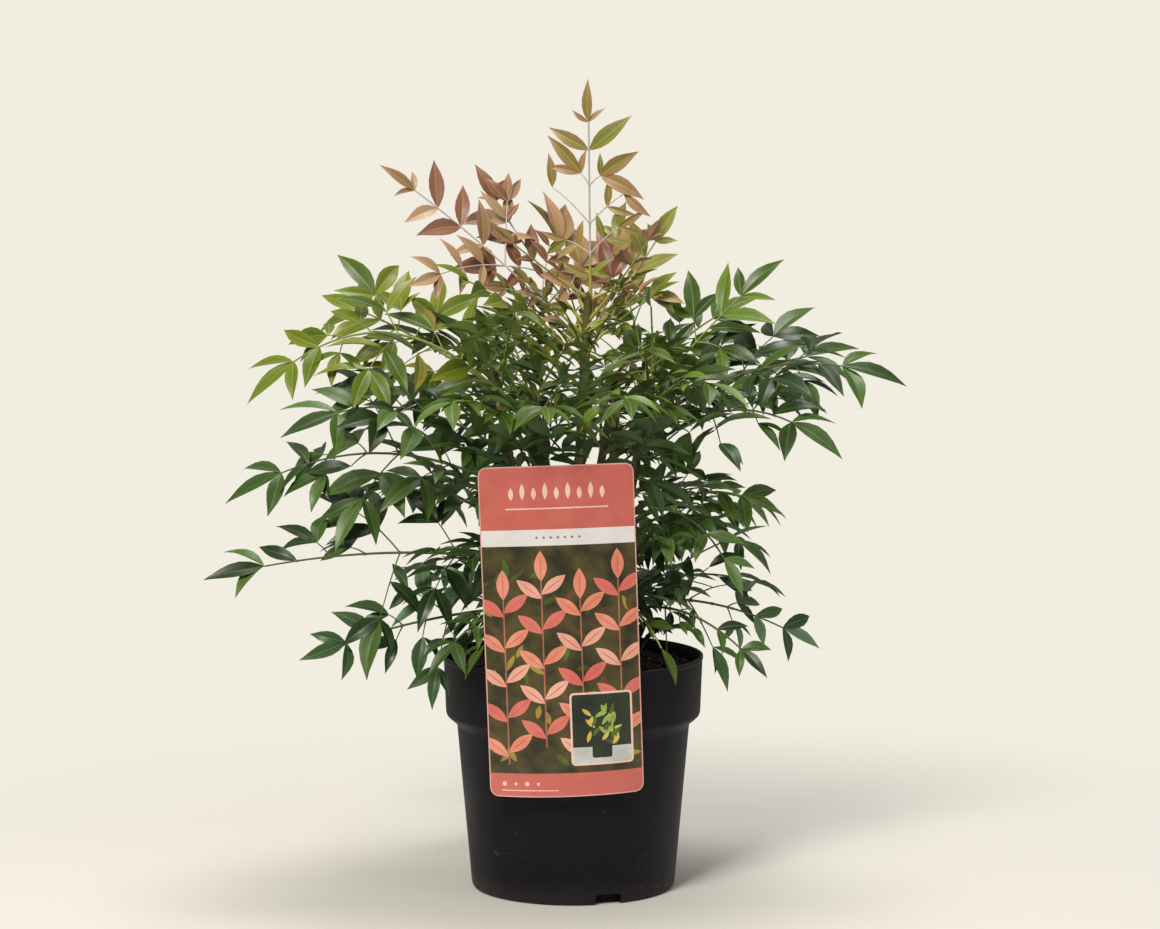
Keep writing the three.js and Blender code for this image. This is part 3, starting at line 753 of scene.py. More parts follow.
def cane_for(azimuth, height):
    """The cane a spray grows from: the nearest in the ring, or the leader above it."""
    ring = [cane for cane in CANES[1:] if cane.top > height]
    if height > LEADER_ABOVE or not ring:
        return CANES[0]
    return min(ring, key=lambda cane: abs((azimuth - cane.azimuth + 540) % 360 - 180))


class Piece:
    """A small set of points with a radius, which takes up room in the crown."""

    def __init__(self, points, radius, spray, joint):
        self.points = np.array(points)
        self.radius = radius
        self.spray = spray
        self.joint = joint
        self.centre = self.points.mean(axis=0)
        self.bound = np.linalg.norm(self.points - self.centre, axis=1).max() + radius
        self.pairs = list(combinations(self.points, 2))
        self.edges = np.array([b - a for a, b in self.pairs])
        corners = combinations(self.points, 3)
        self.faces = np.array([cross(b - a, c - a) for a, b, c in corners]).reshape(-1, 3)


def apart(a, b, gap):
    """True if some direction shows daylight between two pieces."""
    firsts = np.repeat(a.edges, len(b.edges), axis=0)
    seconds = np.tile(b.edges, (len(a.edges), 1))
    lines = np.concatenate((
        (b.centre - a.centre)[None], a.faces, b.faces, cross(firsts.T, seconds.T).T,
        (b.points[None] - a.points[:, None]).reshape(-1, 3),
    ))
    size = np.sqrt((lines ** 2).sum(axis=1))
    kept = size > SMALLEST_LINE
    lines = lines[kept] / size[kept][:, None]
    first = lines @ a.points.T
    second = lines @ b.points.T
    daylight = np.maximum(second.min(1) - first.max(1), first.min(1) - second.max(1))
    return bool((daylight > a.radius + b.radius + gap).any())


def meets_kept_space(piece, gap):
    """True if a piece is too near the pot with what it holds, or the label and the view of it."""
    steps = np.linspace(0, 1, ROOM_STEPS + 1)[:, None]
    x, y, z = np.concatenate([a + (b - a) * steps for a, b in piece.pairs]).T
    gap += piece.radius
    over_pot = np.hypot(x, y) < RIM_RADIUS + RIM_ROOM + gap
    low = z < RIM_TOP + RIM_ROOM_ABOVE + gap
    over_label = np.abs(x - LABEL_X) < LABEL_WIDTH / 2 + LABEL_ROOM + gap
    in_front = y < LABEL_Y + LABEL_BOW + LABEL_VIEW + gap
    beside = z < LABEL_BOTTOM + LABEL_HEIGHT + LABEL_ROOM
    return bool(((over_pot & low) | (over_label & in_front & beside)).any())


def hides_open_view(points):
    """True if a leaflet's middle or tip would stand before one of the crown's gaps."""
    eye = np.array(CAMERA_AT) / MM
    for place in (points.mean(axis=0), points[2]):
        across, _, height = eye + (place - eye) * (-eye[1] / (place[1] - eye[1]))
        for middle, level, half_width, half_height, back in OPEN_VIEWS:
            inside = ((across - middle) / half_width) ** 2 + ((height - level) / half_height) ** 2 < 1
            if inside and place[1] < back:
                return True
    return False


class Crown:
    """All that has its place already."""

    def __init__(self):
        self.pieces = []
        self.centres = np.zeros((CROWN_ROOM, 3))
        self.bounds = np.zeros(CROWN_ROOM)

    def add(self, piece):
        self.centres[len(self.pieces)] = piece.centre
        self.bounds[len(self.pieces)] = piece.bound
        self.pieces.append(piece)

    def free(self, piece, gap=FINE_GAP, kept_gap=FINE_GAP, passed=None):
        """True if a piece has room; its own stalk and joint, and the cane it passes, don't count."""
        if meets_kept_space(piece, kept_gap):
            return False
        count = len(self.pieces)
        away = np.linalg.norm(self.centres[:count] - piece.centre, axis=1)
        for i in np.nonzero(away <= self.bounds[:count] + piece.bound + gap)[0]:
            other = self.pieces[i]
            own = other.spray == piece.spray
            if other.spray == passed or own and other.joint in (piece.joint, "stalk"):
                continue
            if not apart(piece, other, -OWN_OVERLAP if own else gap):
                return False
        return True


CROWN = Crown()
for cane in CANES:
    rises = [SOIL_TOP + (cane.top - SOIL_TOP) * n / CANE_STEPS for n in range(CANE_STEPS + 1)]
    for low, high in zip(rises, rises[1:]):
        ends = [cane_centre(cane, max(z, SOIL_TOP + CLEAR)) for z in (low, high)]
        CROWN.add(Piece(ends, cane_radius(cane, low + CANE_PROBE_RISE), cane.name, "cane"))


class Bend:
    """A curve with one bend, from its foot to its tip."""

    def __init__(self, foot, middle, tip):
        self.foot = foot
        self.middle = middle
        self.tip = tip
        points = np.array(self.points(BEND_POINTS))
        self.length = np.linalg.norm(np.diff(points, axis=0), axis=1).sum()

    def point(self, t):
        return self.foot * (1 - t) ** 2 + self.middle * 2 * t * (1 - t) + self.tip * t ** 2

    def points(self, count, end=1):
        return [self.point(t) for t in np.linspace(0, end, count)]

    def tangent(self, t):
        return unit((self.middle - self.foot) * (1 - t) + (self.tip - self.middle) * t)


class Spray:
    """One compound leaf: a stalk with side twigs, and leaflets in pairs and threes."""

    def __init__(self, number, name, azimuth, height, reach, tip, arch, roll, tint, inner=False):
        self.number = number
        self.name = name
        self.tint = tint
        self.roll = roll
        self.inner = inner
        self.small = tip > SMALL_ABOVE
        self.pair_share = YOUNG_PAIR_SHARE if self.small and not inner else PAIR_SHARE
        self.sag = min(max((SAG_LEVEL - tip) / SAG_LEVEL, SAG_RANGE[0]), SAG_RANGE[1])
        self.leaf = LEAF_LENGTH * (SMALL_SCALE if self.small else 1)
        share = np.interp(tip, FINE_SHARE_RISE, (FINE_SHARE_LOW, FINE_SHARE))
        share = min(share, FINE_SHARE_LIME) if tint == "lime" else share
        share = FINE_SHARE_SMALL if self.small else share
        share *= SPRAY_SHARES.get(name, FINE_SHARE_INNER if inner else 1)
        facing = 0 if self.small else math.sin(math.radians(azimuth)) ** 2
        self.fine_leaf = self.leaf * share * (1 - SMALLER_FRONT * facing)
        self.width = WIDTH_SHARES.get(name, YOUNG_WIDTH if self.small else 1)
        self.level = LEVEL_SIDES + (LEVEL_FRONT - LEVEL_SIDES) * facing
        self.droop = max(self.sag * FINE_SAG, DROOP_FRONT * facing)
        self.shade = SPRAY_SHADES.get(name, stream_of(number, SHADE_KEY)())
        self.spare = stream_of(number, SPARE_KEY)
        self.placed = self.place_stalk(azimuth, height, reach, tip, arch)

    def place_stalk(self, first_azimuth, height, reach, tip_height, arch):
        """The stalk takes the first place where it is clear of the others."""
        cane = cane_for(first_azimuth, height)
        for drop, shift in product(STALK_DROPS, STALK_SHIFTS):
            azimuth = first_azimuth + shift
            start_height = min(height - drop, cane.top - CANE_TIP_ROOM)
            outwards = around(azimuth, cane_radius(cane, start_height) * STALK_ROOT, 0)
            foot = cane_centre(cane, start_height) + outwards
            tip = around(azimuth, reach, tip_height)
            curve = Bend(foot, (foot + tip) / 2 + UP * 2 * arch, tip)
            start = STALK_START / curve.length
            end = 1 - (self.fine_leaf if self.inner else self.leaf) / curve.length
            places = [max(end * n / STALK_STEPS, start) for n in range(STALK_STEPS + 1)]
            pieces = [
                Piece([curve.point(a), curve.point(b)], STALK_RADIUS, self.name, "stalk")
                for a, b in zip(places, places[1:])
            ]
            pieces.append(Piece([curve.point(end), tip], TIP_ROOM, self.name, "stalk"))
            passed = [cane.name] + [None] * STALK_STEPS
            if all(CROWN.free(piece, GAP, STALK_ROOM, name) for piece, name in zip(pieces, passed)):
                for piece in pieces:
                    CROWN.add(piece)
                self.azimuth = azimuth
                self.curve = curve
                self.end = end
                self.fine_end = 1 - self.fine_leaf / curve.length
                return True
        return False

    def frame_at(self, t):
        along = self.curve.tangent(t)
        face = unit(cross(along, around(self.azimuth + 90, 1, 0)))
        return along, turned(face, along, self.roll)


def tier_rows(tiers, key, reaches, arches=None):
    """The sprays of some tiers, each a little off its regular place."""
    for row, (name, first, step, count, height, reach, tip, arch, tint) in enumerate(tiers):
        for i in range(count):
            random = stream_of(row, i, key)
            yield (
                f"{name}_{i + 1}",
                first + step * i + random(*TIER_TURN),
                height + random(*TIER_RISE),
                reach * random(*reaches),
                tip + random(*TIER_TIP),
                arch * random(*arches) if arches else arch,
                random(*TIER_ROLL),
                tint,
            )


def make_sprays():
    rows = [*OUTER_SPRAYS, *tier_rows(TIERS, TIER_KEY, TIER_REACH, TIER_ARCH)]
    return [Spray(number, *row) for number, row in enumerate(rows)]


def make_shoots(first_number):
    """The short shoots that find room, after all else has grown."""
    tiers = [(f"shoot_{n + 1}", *row) for n, row in enumerate(INNER_TIERS)]
    for number, row in enumerate(tier_rows(tiers, SHOOT_KEY, SHOOT_REACH), first_number + 1):
        shoot = Spray(number, *row, inner=True)
        if shoot.placed:
            grow_spray(shoot)


Leaf = namedtuple("Leaf", "base along face length width arch bend twist tint age shade")
Twig = namedtuple("Twig", "points radii tone")
LEAVES = []
TWIGS = []


def leaf_outline(base, along, face, length, width, arch):
    side = unit(cross(face, along))
    up = unit(cross(along, side))
    station = base + along * (length * LEAF_STATION) + up * (length * (arch + LEAF_FOLD))
    edge = side * (length * width / 2)
    return [base, station + edge, base + along * length, station - edge]


def grow_leaf(spray, base, along, face, length, joint, random, age):
    """A leaflet with its own sag and twist; left out where no try finds room."""
    for attempt in range(LEAF_TRIES):
        size = length * random(*FINE_SIZES)
        twist = random(-LEAF_TWIST, LEAF_TWIST)
        sag = spray.droop * random(*LEAF_SAG)
        towards = unit(along - UP * sag)
        random = spray.spare
        if attempt:
            towards = turned(towards, face, random(-TRY_SWING, TRY_SWING))
            size *= 1 - TRY_SHRINK * attempt
        upwards = unit(UP - towards * towards[2])
        look = turned(unit(face + upwards * spray.level), towards, twist)
        width = random(*FINE_WIDTH) * spray.width
        arch = LEAF_ARCH + FINE_ARCH * max(spray.sag, 0) * random(*FINE_ARCH_SPREAD)
        outline = leaf_outline(base, towards, look, size, width, arch)
        piece = Piece(outline, LEAF_ROOM, spray.name, joint)
        hidden = spray.name != SHOWN_SPRAY and hides_open_view(piece.points)
        if hidden or not CROWN.free(piece):
            continue
        CROWN.add(piece)
        bend = random(*FINE_BEND)
        turn = random(*FINE_TURN)
        LEAVES.append(Leaf(base, towards, look, size, width, arch, bend, turn, spray.tint, age, spray.shade))
        return True
    return False


def grow_twig(points, thick, thin, tone, joints=()):
    """A twig through its points, swollen at its joints, as rings for the tube."""
    points = np.array(points)
    steps = np.linalg.norm(np.diff(points, axis=0), axis=1)
    run = np.concatenate(((0,), np.cumsum(steps)))
    stops = set(run)
    for joint in joints:
        stops.update((joint - JOINT_HALF, joint, joint + JOINT_HALF))
    stops = sorted(s for s in stops if 0 <= s <= run[-1])
    spaced = [s for i, s in enumerate(stops) if i == 0 or s - stops[i - 1] > TUBE_STEP]
    path = np.stack([np.interp(spaced, run, points[:, axis]) for axis in range(3)], axis=1)
    radii = np.interp(spaced, (0, run[-1]), (thick, thin))
    for joint in joints:
        near = np.abs(np.array(spaced) - joint)
        radii = radii * (1 + (JOINT_SWELL - 1) * np.clip(1 - near / JOINT_HALF, 0, 1))
    TWIGS.append(Twig(path, radii, tone))


def grow_side(spray, node, hand, t, kind, tone):
    """One side of a node: a single leaflet, or a twig with leaflets in pairs and three at its end."""
    random = stream_of(spray.number, node, hand + 2)
    along, face = spray.frame_at(t)
    base = spray.curve.point(t)
    out = turned(along, face, hand * random(*SIDE_SPREAD))
    joint = f"{kind} {node} {hand}"
    old = OLD_SHARE if spray.small and node in OLD_NODES else 1
    if kind == "pair":
        grow_leaf(spray, base, out, face, spray.fine_leaf * spray.pair_share * old, joint, random, node)
        return
    lift = math.sin(math.radians(random(*SIDE_LIFT)))
    out = unit(out + UP * (lift - spray.sag * SIDE_SAG))
    share = SIDE_SHARES[kind]
    if share:
        reach = spray.curve.length * share * random(*SIDE_REACH)
        leaf = spray.fine_leaf * old
        run = max(reach - leaf, leaf * SIDE_SHORTEST)
    else:
        leaf = spray.fine_leaf * (LARGE_LEAF if kind == "large" else SHORT_LEAF)
        run = spray.fine_leaf * SHORT_TWIG
    end = base + out * run
    twig = Piece([base + out * STALK_START, end], FINE_TWIG_RADIUS, spray.name, joint)
    if not CROWN.free(twig):
        grow_leaf(spray, base, out, face, spray.fine_leaf, joint, random, node)
        return
    CROWN.add(twig)
    curve = Bend(base, (base + end) / 2 + UP * (2 * TWIG_BOW * run), end)
    towards = curve.tangent(1)
    leafy = grow_leaf(spray, end, towards, face, leaf, joint, random, node)
    for side in (-1, 1):
        aside = turned(towards, face, side * random(*TRIPLE_SPREAD))
        size = leaf * (SMALL_INSIDE if kind == "large" and side != hand else TRIPLE_SHARE)
        leafy |= grow_leaf(spray, end, aside, face, size, joint, random, node)
    pairs = min(int(run / (PAIR_SPACING * leaf)), MOST_PAIRS)
    places = [1 - (pair + 1) / (pairs + 1) for pair in range(pairs)]
    for pair, (t, side) in enumerate(product(places, (-1, 1))):
        aside = turned(curve.tangent(t), face, side * spray.spare(*SIDE_SPREAD))
        mark = f"{joint} {pair // 2}"
        leafy |= grow_leaf(spray, curve.point(t), aside, face, leaf * PAIR_SHARE, mark, spray.spare, node)
    if leafy:
        joints = [t * run for t in places]
        grow_twig(curve.points(TWIG_POINTS), FINE_TWIG_RADIUS, TWIG_TIP_RADIUS, tone, joints)


def nodes_of(spray):
    """Where a spray's stalk branches: number, place and kind; the solids' own two come first."""
    if spray.name == "spire":
        return [(number, spray.end * share, kind) for number, share, kind in SPIRE_NODES]
    if spray.inner:
        low, high = (spray.fine_end * place for place in SHOOT_NODES)
        return [(0, low, "short"), (1, high, "pair")]
    kind = "pair" if spray.small else "short"
    low, high = (spray.end * place for place in NODE_PLACES)
    nodes = [(0, low, "long"), (1, high, kind)]
    added = (
        (2, spray.end * INNER_NODE, "inner"), (3, (low + high) / 2, kind),
        (4, (high + spray.fine_end) / 2, "pair"), (5, spray.end * FOOT_NODE, "pair"),
    )
    for node in added:
        if min(abs(node[1] - other) for _, other, _ in nodes) * spray.curve.length > NODE_ROOM:
            nodes.append(node)
    return nodes


def grow_spray(spray):
    """A whole compound leaf: its tip, what grows at its nodes, its stalk and the sheath at its foot."""
    curve = spray.curve
    tone = "fresh" if spray.inner and spray.small else STALK_TONES[spray.tint]
    _, face = spray.frame_at(spray.fine_end)
    root = curve.point(spray.fine_end)
    towards = unit(curve.point(1) - root)
    random = stream_of(spray.number, TIP_NODE, TIP_NODE)
    outline = leaf_outline(root, towards, face, spray.fine_leaf, LEAF_WIDTH, LEAF_ARCH)
    CROWN.add(Piece(outline, LEAF_ROOM, spray.name, "tip"))
    LEAVES.append(Leaf(
        root, towards, face, spray.fine_leaf, FINE_WIDTH[0] * spray.width, LEAF_ARCH, TIP_BEND, TIP_TWIST,
        spray.tint, TIP_NODE, spray.shade,
    ))
    shown = spray.name == SHOWN_SPRAY
    end_share = SHOWN_END_SHARE if shown else YOUNG_END_SHARE if spray.small else END_SHARE
    spread = SHOWN_SPREAD if shown else END_SPREAD
    for hand in (-1, 1):
        out = turned(towards, face, hand * random(*spread))
        grow_leaf(spray, root, out, face, spray.fine_leaf * end_share, "tip", random, TIP_NODE)
    nodes = nodes_of(spray)
    for (number, t, kind), hand in product(nodes, (-1, 1)):
        grow_side(spray, number, hand, t, kind, tone)
    joints = [t * curve.length for _, t, _ in nodes]
    thick = STALK_RADIUS * (YOUNG_STALK if spray.small else SHOOT_STALK if spray.inner else 1)
    grow_twig(curve.points(STALK_POINTS, spray.fine_end), thick, FINE_TWIG_RADIUS, tone, joints)
    sheath_end = (YOUNG_SHEATH_LENGTH if spray.small else SHEATH_LENGTH) / curve.length
    sheath = SHEATH_RADIUS * (SHEATH_SHARE if spray.inner or spray.small else 1)
    sheath_tone = "sheath" if spray.small or spray.tint == "lime" else tone
    grow_twig(curve.points(SHEATH_POINTS, sheath_end), sheath, thick * SHEATH_TAPER, sheath_tone)


# ------------------------------------------------------------------ meshes


def smooth(mesh, below):
    """Smooth shading, except at edges sharper than an angle in degrees."""
    mesh.polygons.foreach_set("use_smooth", [True] * len(mesh.polygons))
    mesh.set_sharp_from_angle(angle=math.radians(below))


def mesh_object(name, points, faces, materials, indices=None, smooth_below=None):
    """An object whose place is in its mesh; points in millimetres."""
    mesh = bpy.data.meshes.new(name)
    mesh.from_pydata((np.array(points) * MM).tolist(), [], faces)
    for material in materials:
        mesh.materials.append(material)
    if indices:
        mesh.polygons.foreach_set("material_index", indices)
    if smooth_below:
        smooth(mesh, smooth_below)
    mesh.update()
    return put(name, mesh)


def baked(piece, modifier):
    """A new plain mesh of the piece as its modifier shapes it; the modifier goes."""
    seen = piece.evaluated_get(bpy.context.evaluated_depsgraph_get())
    mesh = bpy.data.meshes.new_from_object(seen)
    piece.modifiers.remove(modifier)
    return mesh


def circle(radius, count):
    """Points evenly round a circle."""
    angles = (math.tau * n / count for n in range(count))
    return [(radius * math.cos(angle), radius * math.sin(angle)) for angle in angles]


def tube_faces(rings, sides, first=0):
    """The faces of a closed tube through rings of points, from point number first on."""
    last = first + (rings - 1) * sides
    faces = []
    for a, n in product(range(first, last, sides), range(sides)):
        m = (n + 1) % sides
        faces.append((a + n, a + m, a + sides + m, a + sides + n))
    return faces + [tuple(reversed(range(first, first + sides))), tuple(range(last, last + sides))]


def spun_faces(rings, sides, top_down=False):
    """Faces round an axis from point 0 through rings of points, one sector after another."""
    sectors = []
    for n in range(sides):
        m = (n + 1) % sides
        sector = [(0, 1 + m, 1 + n)]
        for a in range(1, 1 + (rings - 1) * sides, sides):
            sector.append((a + n, a + m, a + sides + m, a + sides + n))
        sectors.append([(face[0], *reversed(face[1:])) for face in sector] if top_down else sector)
    return sectors


# ------------------------------------------------------------------ leaflets

STATIONS = np.array((0, 0.08, 0.21, 0.37, 0.54, 0.71, 0.87, 1.0))
TIP_POWER = 1.35
WIDEST = TIP_POWER ** TIP_POWER / (1 + TIP_POWER) ** (1 + TIP_POWER)
MARGIN, HEART, RIB, UNDERSIDE = range(4)
# Round a ring of points: left edge, left blade, left of the rib, right of the rib, right blade,
# right edge, keel
RING_FINISHES = (MARGIN, HEART, RIB, HEART, MARGIN, UNDERSIDE, UNDERSIDE)
HEART_ENDS = 4
LEAF_VEIN = 0.42
VEIN_TAPER = 0.6
VEIN_SHARE = 0.3
VEIN_RISE = 0.04
BLADE_OUT = 0.55
BLADE_RISE = 0.72
LEAF_UNDER = 0.45
UNDER_SHARE = 0.3
FOLD_SHARE = 0.34
LEAF_SMOOTH = 38


def leaf_template():
    """Faces between the end points and the rings of a leaflet, and each face's finish."""
    ring = len(RING_FINISHES)
    rings = len(STATIONS) - 2
    faces = []
    finishes = []
    for k, (n, kind) in product(range(rings + 1), enumerate(RING_FINISHES)):
        m = (n + 1) % ring
        low = 1 + (k - 1) * ring
        high = low + ring
        if k == 0:
            faces.append((0, high + m, high + n))
        elif k == rings:
            faces.append((low + n, low + m, high))
        else:
            faces.append((low + n, low + m, high + m, high + n))
        finishes.append(MARGIN if kind == HEART and k > HEART_ENDS else kind)
    return faces, finishes


LEAF_FACES, LEAF_FINISHES = leaf_template()


def leaf_points(leaf):
    """The leaflet's vertices: folded along its rib, arched, bent and twisted, its tip drawn out."""
    side = unit(cross(leaf.face, leaf.along))
    up = unit(cross(leaf.along, side))
    half = leaf.length * leaf.width / 2
    points = [leaf.base]
    for s in STATIONS[1:-1]:
        wide = half * (s * (1 - s) ** TIP_POWER / WIDEST)
        fold = FOLD_SHARE * wide
        vein = min(LEAF_VEIN * (1 - VEIN_TAPER * s), wide * VEIN_SHARE)
        centre = leaf.base + leaf.along * (leaf.length * s)
        centre = centre + up * (leaf.length * leaf.arch * 4 * s * (1 - s))
        centre = centre + side * (leaf.length * leaf.bend * 4 * s * (1 - s))
        turn = leaf.twist * (s - LEAF_STATION)
        out = turned(side, leaf.along, turn)
        rise = turned(up, leaf.along, turn)
        right = ((vein, VEIN_RISE * wide), (wide * BLADE_OUT, fold * BLADE_RISE), (wide, fold))
        left = ((-y, z) for y, z in reversed(right))
        keel = (0, -LEAF_UNDER * min(1, wide / half + UNDER_SHARE))
        points.extend(centre + out * y + rise * z for y, z in (*left, *right, keel))
    return points + [leaf.base + leaf.along * leaf.length]


def make_foliage(tint, sprays):
    """All leaflets of one tint, joined; young leaves at the tips of its sprays."""
    tones, rib, under = LEAF_TINTS[tint]
    materials = []
    for n, face in enumerate(tones, 1):
        margin, heart = face.split()
        materials += (
            leaf_finish(f"{tint} margin {n}", margin, *LEAF_GLOSS),
            leaf_finish(f"{tint} leaf {n}", heart, *LEAF_GLOSS),
            leaf_finish(f"{tint} rib {n}", blend(heart, rib, RIB_SHARE), *RIB_GLOSS),
            # Undersides are paler than the upper faces; for coral and bronze, partly painted light shining
            # through.
            leaf_finish(f"{tint} underside {n}", blend(heart, under, UNDERSIDE_SHARE), *UNDERSIDE_GLOSS),
        )
    points = []
    faces = []
    indices = []
    random = stream_of(sorted(LEAF_TINTS).index(tint), TONE_KEY)
    spread = TONE_SPREADS[tint]
    for leaf in LEAVES:
        if leaf.tint != tint:
            continue
        faces.extend(tuple(len(points) + v for v in face) for face in LEAF_FACES)
        points.extend(leaf_points(leaf))
        tone = leaf.shade * (len(tones) - 1) + random(-spread, spread) + 0.5
        tone += OLD_TONES * (leaf.age in OLD_NODES) - (leaf.age == TIP_NODE)
        tone = min(max(int(tone), 0), len(tones) - 1)
        indices.extend(4 * tone + kind for kind in LEAF_FINISHES)
    piece = mesh_object(f"foliage_{tint}", points, faces, materials, indices, LEAF_SMOOTH)
    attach(piece, BODY)
    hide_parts(*(f"leaves_{spray.name}" for spray in sprays if spray.tint == tint))


# ------------------------------------------------------------------ stalks, by Geometry Nodes

TUBE_SIDES = 6


def geometry_group(name, **inputs):
    inputs = {"Geometry": "Geometry", **inputs, "Finish": "Material"}
    return node_group("GeometryNodeTree", name, inputs, ("Geometry",))


def end_tree(tree, shape, start, end):
    """Ends a tree with real geometry that carries its finish."""
    real = add(tree, "GeometryNodeRealizeInstances", {"Geometry": shape})
    done = add(tree, "GeometryNodeSetMaterial", {"Geometry": real, "Material": start["Finish"]})
    plug(tree, end, {"Geometry": done})


def run_tree(piece, tree, sockets, values, name):
    """Puts the tree on the piece and gives its result as a new plain object."""
    modifier = piece.modifiers.new(tree.name, "NODES")
    modifier.node_group = tree
    for label, value in values.items():
        modifier[sockets[label].identifier] = value
    mesh = baked(piece, modifier)
    bpy.data.objects.remove(piece)
    mesh.name = name
    return put(name, mesh)


def tube_tree():
    """Round tubes along lines, as thick as the lines' own "thick" attribute."""
    tree, sockets, start, end = geometry_group("stalk tubes", Sides=TUBE_SIDES)
    lines = add(tree, "GeometryNodeMeshToCurve", {"Mesh": start["Geometry"]})
    thick = add(tree, "GeometryNodeInputNamedAttribute", {"Name": "thick"}, data_type="FLOAT")
    ring = add(tree, "GeometryNodeCurvePrimitiveCircle", {"Resolution": start["Sides"], "Radius": 1.0})
    inputs = {"Curve": lines, "Profile Curve": ring, "Scale": thick, "Fill Caps": True}
    tube = add(tree, "GeometryNodeCurveToMesh", inputs)
    end_tree(tree, add(tree, "GeometryNodeSetShadeSmooth", {"Geometry": tube}), start, end)
    return tree, sockets


def make_stalks(sprays):
    """All stalks and twigs of one tone, joined."""
    tree, sockets = tube_tree()
    for tone, colour in STALK_TINTS.items():
        points = []
        edges = []
        thick = []
        for twig in TWIGS:
            if twig.tone == tone:
                start = len(points)
                points.extend((twig.points * MM).tolist())
                thick.extend(twig.radii * MM)
                edges.extend((n, n + 1) for n in range(start, len(points) - 1))
        mesh = bpy.data.meshes.new("stalk lines")
        mesh.from_pydata(points, edges, [])
        mesh.attributes.new("thick", "FLOAT", "POINT").data.foreach_set("value", thick)
        values = {"Sides": TUBE_SIDES, "Finish": leaf_finish(f"{tone} stalk", colour, *STALK_GLOSS)}
        piece = run_tree(put("stalk lines", mesh), tree, sockets, values, f"stalks_{tone}")
        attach(piece, BODY)
        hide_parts(*(f"leaves_{spray.name}" for spray in sprays))


# ------------------------------------------------------------------ canes

CANE_SIDES = 22
CANE_RING_STEP = 1.9
CANE_SUNK = 2
CANE_TIP_ROUND = 3.0
CANE_TIP_LEAST = 0.02
CANE_SMOOTH = 50
SCAR_FOOT = 12
SCAR_TOP = 8
SCAR_STEP = 17
SCAR_SPACING = (0.75, 1.3)
SCAR_SLANT = 1.6
SCAR_HEIGHT = 0.9
SCAR_LIP = 0.16
SCAR_REACH = 3
SEED_STEP = 0.37
# How far strips and rough spots stand out, how many there are round the cane and up it
BARK_RELIEF = ((0.10, 2.6, 0.05), (0.04, 5.0, 0.25))


def bark_relief(cane, angle, z, scars):
    """How far the bark stands out at a place, as a share of the cane's radius."""
    relief = 0
    for depth, across, rise in BARK_RELIEF:
        place = (math.cos(angle) * across, math.sin(angle) * across, z * rise + cane.azimuth * SEED_STEP)
        relief += depth * noise.noise(Vector(place))
    for scar, lean in scars:
        away = (z - scar - SCAR_SLANT * math.cos(angle - lean)) / SCAR_HEIGHT
        if abs(away) < SCAR_REACH:
            relief += SCAR_LIP * math.exp(-away * away)
    return relief


def make_cane(cane, finish):
    random = stream_of(int(cane.azimuth), SCAR_KEY)
    foot = SOIL_TOP - CANE_SUNK
    scars = []
    z = SOIL_TOP + SCAR_FOOT
    while z < cane.top - SCAR_TOP:
        scars.append((z, random(0, math.tau)))
        z += SCAR_STEP * random(*SCAR_SPACING)
    rings = int((cane.top - foot) / CANE_RING_STEP)
    points = []
    for k in range(rings + 1):
        z = foot + (cane.top - foot) * k / rings
        centre = cane_centre(cane, z)
        below_top = (cane.top - z) / CANE_TIP_ROUND
        cap = math.sqrt(max(1 - (1 - min(below_top, 1)) ** 2, CANE_TIP_LEAST))
        for n in range(CANE_SIDES):
            angle = math.tau * n / CANE_SIDES
            radius = cane_radius(cane, max(z, SOIL_TOP + CLEAR)) * cap
            radius *= 1 + bark_relief(cane, angle, z, scars)
            points.append(centre + np.array((math.cos(angle), math.sin(angle), 0)) * radius)
    faces = tube_faces(rings + 1, CANE_SIDES)
    piece = mesh_object(f"bark_{cane.name}", points, faces, [finish], smooth_below=CANE_SMOOTH)
    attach(piece, BODY)
    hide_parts(cane.name)


# ------------------------------------------------------------------ pot

ARC_STEPS = 5
POT_SMOOTH = 32


def wall_radius(z):
    return FOOT_RADIUS + (SHOULDER_RADIUS - FOOT_RADIUS) * z / SHOULDER_Z


# Outside from the foot up, over the rim and down inside: radius, height, rounding
POT_CORNERS = (
    (0, 0, 0),
    (FOOT_RADIUS, 0, FOOT_ROUND),
    (wall_radius(40), 40, 0),
    (wall_radius(80), 80, 0),
    (SHOULDER_RADIUS, SHOULDER_Z, 2.2),
    (BAND_RADIUS - 0.3, BAND_BOTTOM - 0.4, 2.4),
    (RIM_RADIUS - 0.5, RIM_TOP - 3.0, 0.8),
    (RIM_RADIUS, RIM_TOP - 2.3, 0.5),
    (RIM_RADIUS, RIM_TOP, 0.7),
    (RIM_RADIUS - POT_WALL - 0.4, RIM_TOP, 0.7),
    (BAND_RADIUS - POT_WALL, BAND_BOTTOM + 3, 2.0),
    (SHOULDER_RADIUS - POT_WALL, SHOULDER_Z + 1.5, 2.0),
    (wall_radius(0) - POT_WALL, POT_FLOOR, 3.0),
    (0, POT_FLOOR, 0),
)


def rounded_profile(corners):
    """A profile through corners, each rounded by a short arc."""
    places = [np.array(corner[:2], dtype=float) for corner in corners]
    points = []
    for n, here in enumerate(places):
        rounding = corners[n][2]
        if not rounding:
            points.append(here)
            continue
        start, end = (
            here + (other - here) / np.linalg.norm(other - here) * rounding
            for other in (places[n - 1], places[n + 1])
        )
        for t in np.linspace(0, 1, ARC_STEPS):
            points.append(start * (1 - t) ** 2 + here * 2 * t * (1 - t) + end * t ** 2)
    return points


